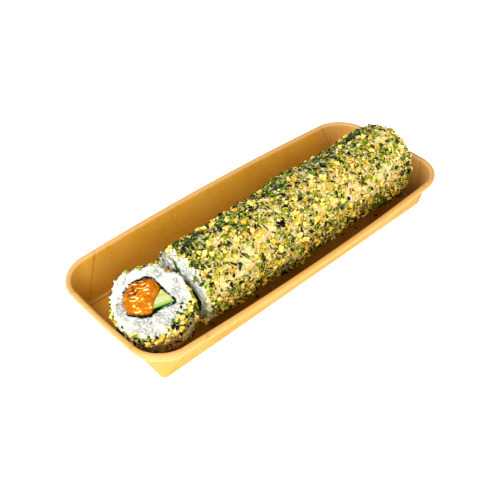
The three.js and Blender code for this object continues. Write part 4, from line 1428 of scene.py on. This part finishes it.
def salmon_relief(u, v):
    """Height and tone of the chopped salmon at a place on the cut. The tone has painted shade where the
    chunks meet and in the grooves between the scraps, and painted glints from the pale bits
    """
    height, tone = np.full(u.shape, -1.0), np.full(u.shape, 0.34)
    for cu, cv, length, width, turn, own, stripes in CHOPPED:
        c, s = math.cos(math.radians(turn)), math.sin(math.radians(turn))
        x, y = (u - cu) * c + (v - cv) * s, (v - cv) * c - (u - cu) * s
        cap = 1 - (x / length * 1.75) ** 2 - (y / width * 1.75) ** 2
        # pale lines, bent away from the middle of the cut
        bent = y + 0.09 * x ** 2 * math.copysign(1, cu + 4)
        lines = np.sin(bent * 2 * np.pi / SALMON_LINE_GAP + cu + 0.7 * np.sin(x * 1.1))
        shade = own - 0.08 + stripes * 0.66 * np.clip(lines, 0, 1) ** 1.5
        # painted shade towards each chunk's edge, where the chunks meet
        shade = shade - 0.12 * smooth_step(-cap, -0.35, 0.6)
        higher = cap > height
        height, tone = np.where(higher, cap, height), np.where(higher, shade, tone)
    # the pale bits paint glints on the salmon
    for cu, cv, size, own in SALMON_BITS_AND_GLINTS:
        near = hill((u - cu) / size, (v - cv) / (0.7 * size))
        height, tone = height + 0.35 * near, tone + (own - tone) * np.clip(1.6 * near, 0, 1)
    u_gap, v_gap = u[..., None] - SCRAPS[:, 0], v[..., None] - SCRAPS[:, 1]
    gaps = np.hypot(u_gap * 0.8 + v_gap * 0.25, v_gap)
    nearest = gaps.argmin(-1)
    first, second = np.partition(gaps, 1, -1)[..., 0], np.partition(gaps, 1, -1)[..., 1]
    ridge = smooth_step(second - first, 0, 0.8)
    # the tone is a little darker in the grooves between the scraps: painted shade
    return (np.maximum(0.8 * height, -0.7) + 0.4 * ridge - 0.28 + 0.45 * SCRAPS[nearest, 2],
            tone + 0.5 * SCRAPS[nearest, 2] - 0.03 * (1 - ridge))


def make_strand(name, node, body, length, outline, centre, face, columns, rows, material, slot):
    """A strand of the filling, with face(u, v, share) giving its cut end's height and tint;
    share goes from 0 in the middle to 1 at the edge"""
    angle, c, s = ring_of(columns)
    edge = outline_radius(outline, centre)(angle) + STRAND_SWELL
    points, tints = [], []

    def add_ring(share, depth=None, tint=None):
        u, v = centre[0] + edge * share * c, centre[1] + edge * share * s
        if depth is None:
            depth, tint = face(u, v, share)
        points.append(body.at(u + body.filling[0], v + body.filling[1], depth))
        tints.append(tint)

    for share in np.linspace(0.004, 1, rows) ** 0.85:
        add_ring(share)
    for depth in np.linspace(-2.0, -length, 6 if length < 30 else 12):
        add_ring(1, depth, tints[rows - 1])
    for share in (0.7, 0.35, 0.004):
        add_ring(share, -length, tints[int(rows * share)])
    add_piece(
        name, np.concatenate(points), grid_faces(len(points), columns), material, slot,
        replaces=(node,), tint=np.concatenate(tints))


# share of the way out at which a strand's face starts to drop towards its edge
EDGE_DROP = 0.92


def salmon_face(u, v, share):
    """The salmon's cut face: domed, with its chopped pieces standing out"""
    height, tone = salmon_relief(u, v)
    dome = 1.1 * (1 - share ** 2) - 0.7 * smooth_step(share, EDGE_DROP, 1.0)
    return 0.35 + dome + 0.75 * height, tone


def cucumber_face(u, v, share):
    """The cucumber's cut face: darker towards its skin, hollow at its seeds, and darker olive-brown at its
    seeds next to the salmon, which is brownish seeds with painted shadow of the salmon
    """
    from_skin = (u - 2.4) * -0.36 + (v + 3.9) * 0.93
    streaks = 0.05 * np.sin(from_skin * 2.9 + 0.4) * smooth_step(from_skin, 0.8, 2)
    tint = streaks + np.interp(
        from_skin, [0.0, 0.3, 0.6, 1.4, 3.0, 6.0], [0.04, 0.1, 0.3, 0.55, 0.8, 0.6])
    # the seeds lie next to the salmon; their darker tint is partly the seeds' own and partly painted shadow
    # of the salmon
    seeds_and_salmon_shadow = smooth_step(-np.hypot(u - 3.6, v - 5.4), -2.8, -1.2)
    height = 0.15 - 0.3 * smooth_step(share, EDGE_DROP, 1.0) - 0.3 * seeds_and_salmon_shadow
    return height, np.clip(tint + 0.22 * seeds_and_salmon_shadow, 0, 1)


def make_nori(prefix, body, length):
    """The sheet round the filling: its cut edge ragged, and sunk into the rice in places"""
    rng, columns = np.random.default_rng(51), 360
    angle, c, s = ring_of(columns)
    coarse = np.convolve(rng.normal(0, 1, columns + 8), np.ones(5) / 5, "same")[4:-4] * 1.6
    fine = rng.normal(0, 1, columns) * 0.4
    ragged = coarse + fine
    inner = outline_radius(NORI_OUTLINE, (0, 0))(angle) + 0.05 + 0.08 * ragged
    inner = inner - 0.5 * near_angle(angle, 3, 8)
    # folds make the slice's sheet thicker
    folded = sum(
        more * near_angle(angle, at, spread)
        for at, more, spread in ((52, 0.12, 6), (-58, 1.2, 8), (-82, 1.1, 6), (-112, 0.5, 14)))
    thin = 0.12 * near_angle(angle, 125, 40) + 0.15 * near_angle(angle, 3, 8)
    thick = np.clip(0.3 - thin + folded * (body is cut_slice) + 0.3 * ragged, 0.12, 1.8)
    shown = 1 - 2.4 * near_angle(angle, 184, 30)
    shown -= 1.3 * near_angle(angle, -28, 12)
    shown -= 0.9 * near_angle(angle, 78, 10) + 0.9 * lapping(angle)
    top = np.clip(0.85 * shown + 0.3 * ragged, -1.6, 1.2)
    # up the inside, over the cut edge and down the outside
    depths = [-1.8] + list(np.linspace(-3, -length, 4 if length < 30 else 10))
    rings = [(inner, depth) for depth in depths[::-1]] + [(inner, top), (inner + thick, top - 0.1)]
    rings += [(inner + 0.55, depth) for depth in depths]
    u_shift, v_shift = body.filling
    points = np.concatenate([
        body.at(radius * c + u_shift, radius * s + v_shift, height) for radius, height in rings])
    add_piece(
        f"{prefix}_nori_sheet", points, grid_faces(len(rings), columns, closed_rows=True), seaweed,
        "nori", replaces=(f"{prefix}_nori",), tint=np.tile(0.3 + 0.15 * ragged, len(rings)))


def make_leaf_and_painted_shadow_in_gap():
    """A strip of leaf and dark seaweed caught between the slice and the roll's cut. Past its green top it
    is near black, a dark strip that paints the shadow in the crevice
    """
    rng = np.random.default_rng(61)
    line = np.array([
        (-5.6, 17.0), (-3.8, 13.6), (-2.0, 10.9), (0.0, 8.8), (2.4, 7.0), (5.0, 5.8), (7.4, 4.8),
        (9.8, 3.7), (12.1, 1.8), (13.6, -0.4), (14.1, -3.2), (14.2, -6.5)])
    count = len(line)
    ahead = unit(np.gradient(line, axis=0))
    across = np.column_stack([-ahead[:, 1], ahead[:, 0]])
    half = np.interp(np.arange(count), [0, 1, 3, 6, 9, 11], [0.3, 1.1, 1.1, 1.3, 1.5, 0.6])
    half = half * (1 + rng.normal(0, 0.18, count))
    rings = []
    for side, out in ((1, 0.1), (0, 0.3), (-1, 0.1), (-1, -0.1), (1, -0.1)):
        at = line + across * (side * half)[:, None]
        rings.append(roll.at(at[:, 0], at[:, 1], 0.9 + out))
    points = np.stack(rings, 1).reshape(-1, 3)
    # green at the top, then near black: the dark part is painted shadow in the gap
    tint = np.repeat(np.interp(np.arange(count), [0, 3, 5, 11], [0.5, 0.4, 0.08, 0.0]), 5)
    add_piece("leaf_and_painted_shadow_in_gap", points, grid_faces(count, 5), herb, "coated_rice", tint=tint)


def make_filling():
    """Salmon, cucumber and sheet in the slice and in the roll"""
    for prefix, body, length, fineness in (
        ("slice", cut_slice, SLICE_LENGTH - 1.0, 1.0), ("roll", roll, ROLL_FILLING_LENGTH, 0.6),
    ):
        for kind, form, outline, centre, face, columns, rows, material in (
            ("salmon", "chopped", SALMON_OUTLINE, SALMON_MIDDLE, salmon_face, 200, 60, salmon),
            ("cucumber", "wedge", CUCUMBER_OUTLINE, CUCUMBER_MIDDLE, cucumber_face, 160, 36, cucumber),
        ):
            make_strand(
                f"{prefix}_{kind}_{form}", f"{prefix}_{kind}", body, length, outline, centre, face,
                int(columns * fineness), int(rows * fineness), material, kind)
        make_nori(prefix, body, length)
    make_leaf_and_painted_shadow_in_gap()


# Surroundings


def make_floor():
    mesh = bpy.data.meshes.new("table_top")
    corners = [(-FLOOR_HALF, -FLOOR_HALF, 0), (FLOOR_HALF, -FLOOR_HALF, 0),
               (FLOOR_HALF, FLOOR_HALF, 0), (-FLOOR_HALF, FLOOR_HALF, 0)]
    mesh.from_pydata(corners, [], [(0, 1, 2, 3)])
    material, tree, shader = new_material(
        "table_top", 0.6, Emission_Color=(1.0, 1.0, 1.0, 1.0), Emission_Strength=0.5)
    shade = use_group(tree, MOTTLE, scale=6, low=0.0, high=1.0)
    colours = ramp(tree, shade, "Value", [(0.0, (249, 249, 249)), (1.0, (252, 252, 252))])
    link(tree, colours, "Color", shader, "Base Color")
    mesh.materials.append(material)
    floor = bpy.data.objects.new("table_top", mesh)
    bpy.context.collection.objects.link(floor)
    floor.location.z = -FLOOR_DROP


def add_light(name, where, size, power, colour):
    light = bpy.data.lights.new(name, "AREA")
    light.shape, light.size, light.energy, light.color = "DISK", size, power, colour
    lamp = bpy.data.objects.new(name, light)
    bpy.context.collection.objects.link(lamp)
    lamp.location = where
    lamp.rotation_mode = "QUATERNION"
    lamp.rotation_quaternion = (Vector(LIGHT_AIM) - Vector(where)).to_track_quat("-Z", "Y")


def make_surroundings():
    make_floor()
    world = bpy.data.worlds.new("studio")
    bpy.context.scene.world = world
    world.use_nodes = True
    sky = world.node_tree.nodes["Background"]
    sky.inputs["Color"].default_value = (1.0, 1.0, 1.0, 1.0)
    sky.inputs["Strength"].default_value = 0.5
    for light in LIGHTS:
        add_light(*light)
    view = bpy.context.scene.view_settings
    view.view_transform, view.look = "Standard", "High Contrast"


def make_camera():
    camera = bpy.data.cameras.new("camera")
    camera.sensor_width, camera.lens = CAMERA_SENSOR, CAMERA_LENS
    camera.clip_start, camera.clip_end = 0.01, 10
    eye = bpy.data.objects.new("camera", camera)
    bpy.context.collection.objects.link(eye)
    turn = Matrix((CAMERA_RIGHT, CAMERA_UP, CAMERA_BACK)).transposed().to_4x4()
    eye.matrix_world = Matrix.Translation(CAMERA_PLACE) @ turn
    bpy.context.scene.camera = eye


make_camera()
make_surroundings()
make_tray()
make_rice()
make_filling()
make_coating()
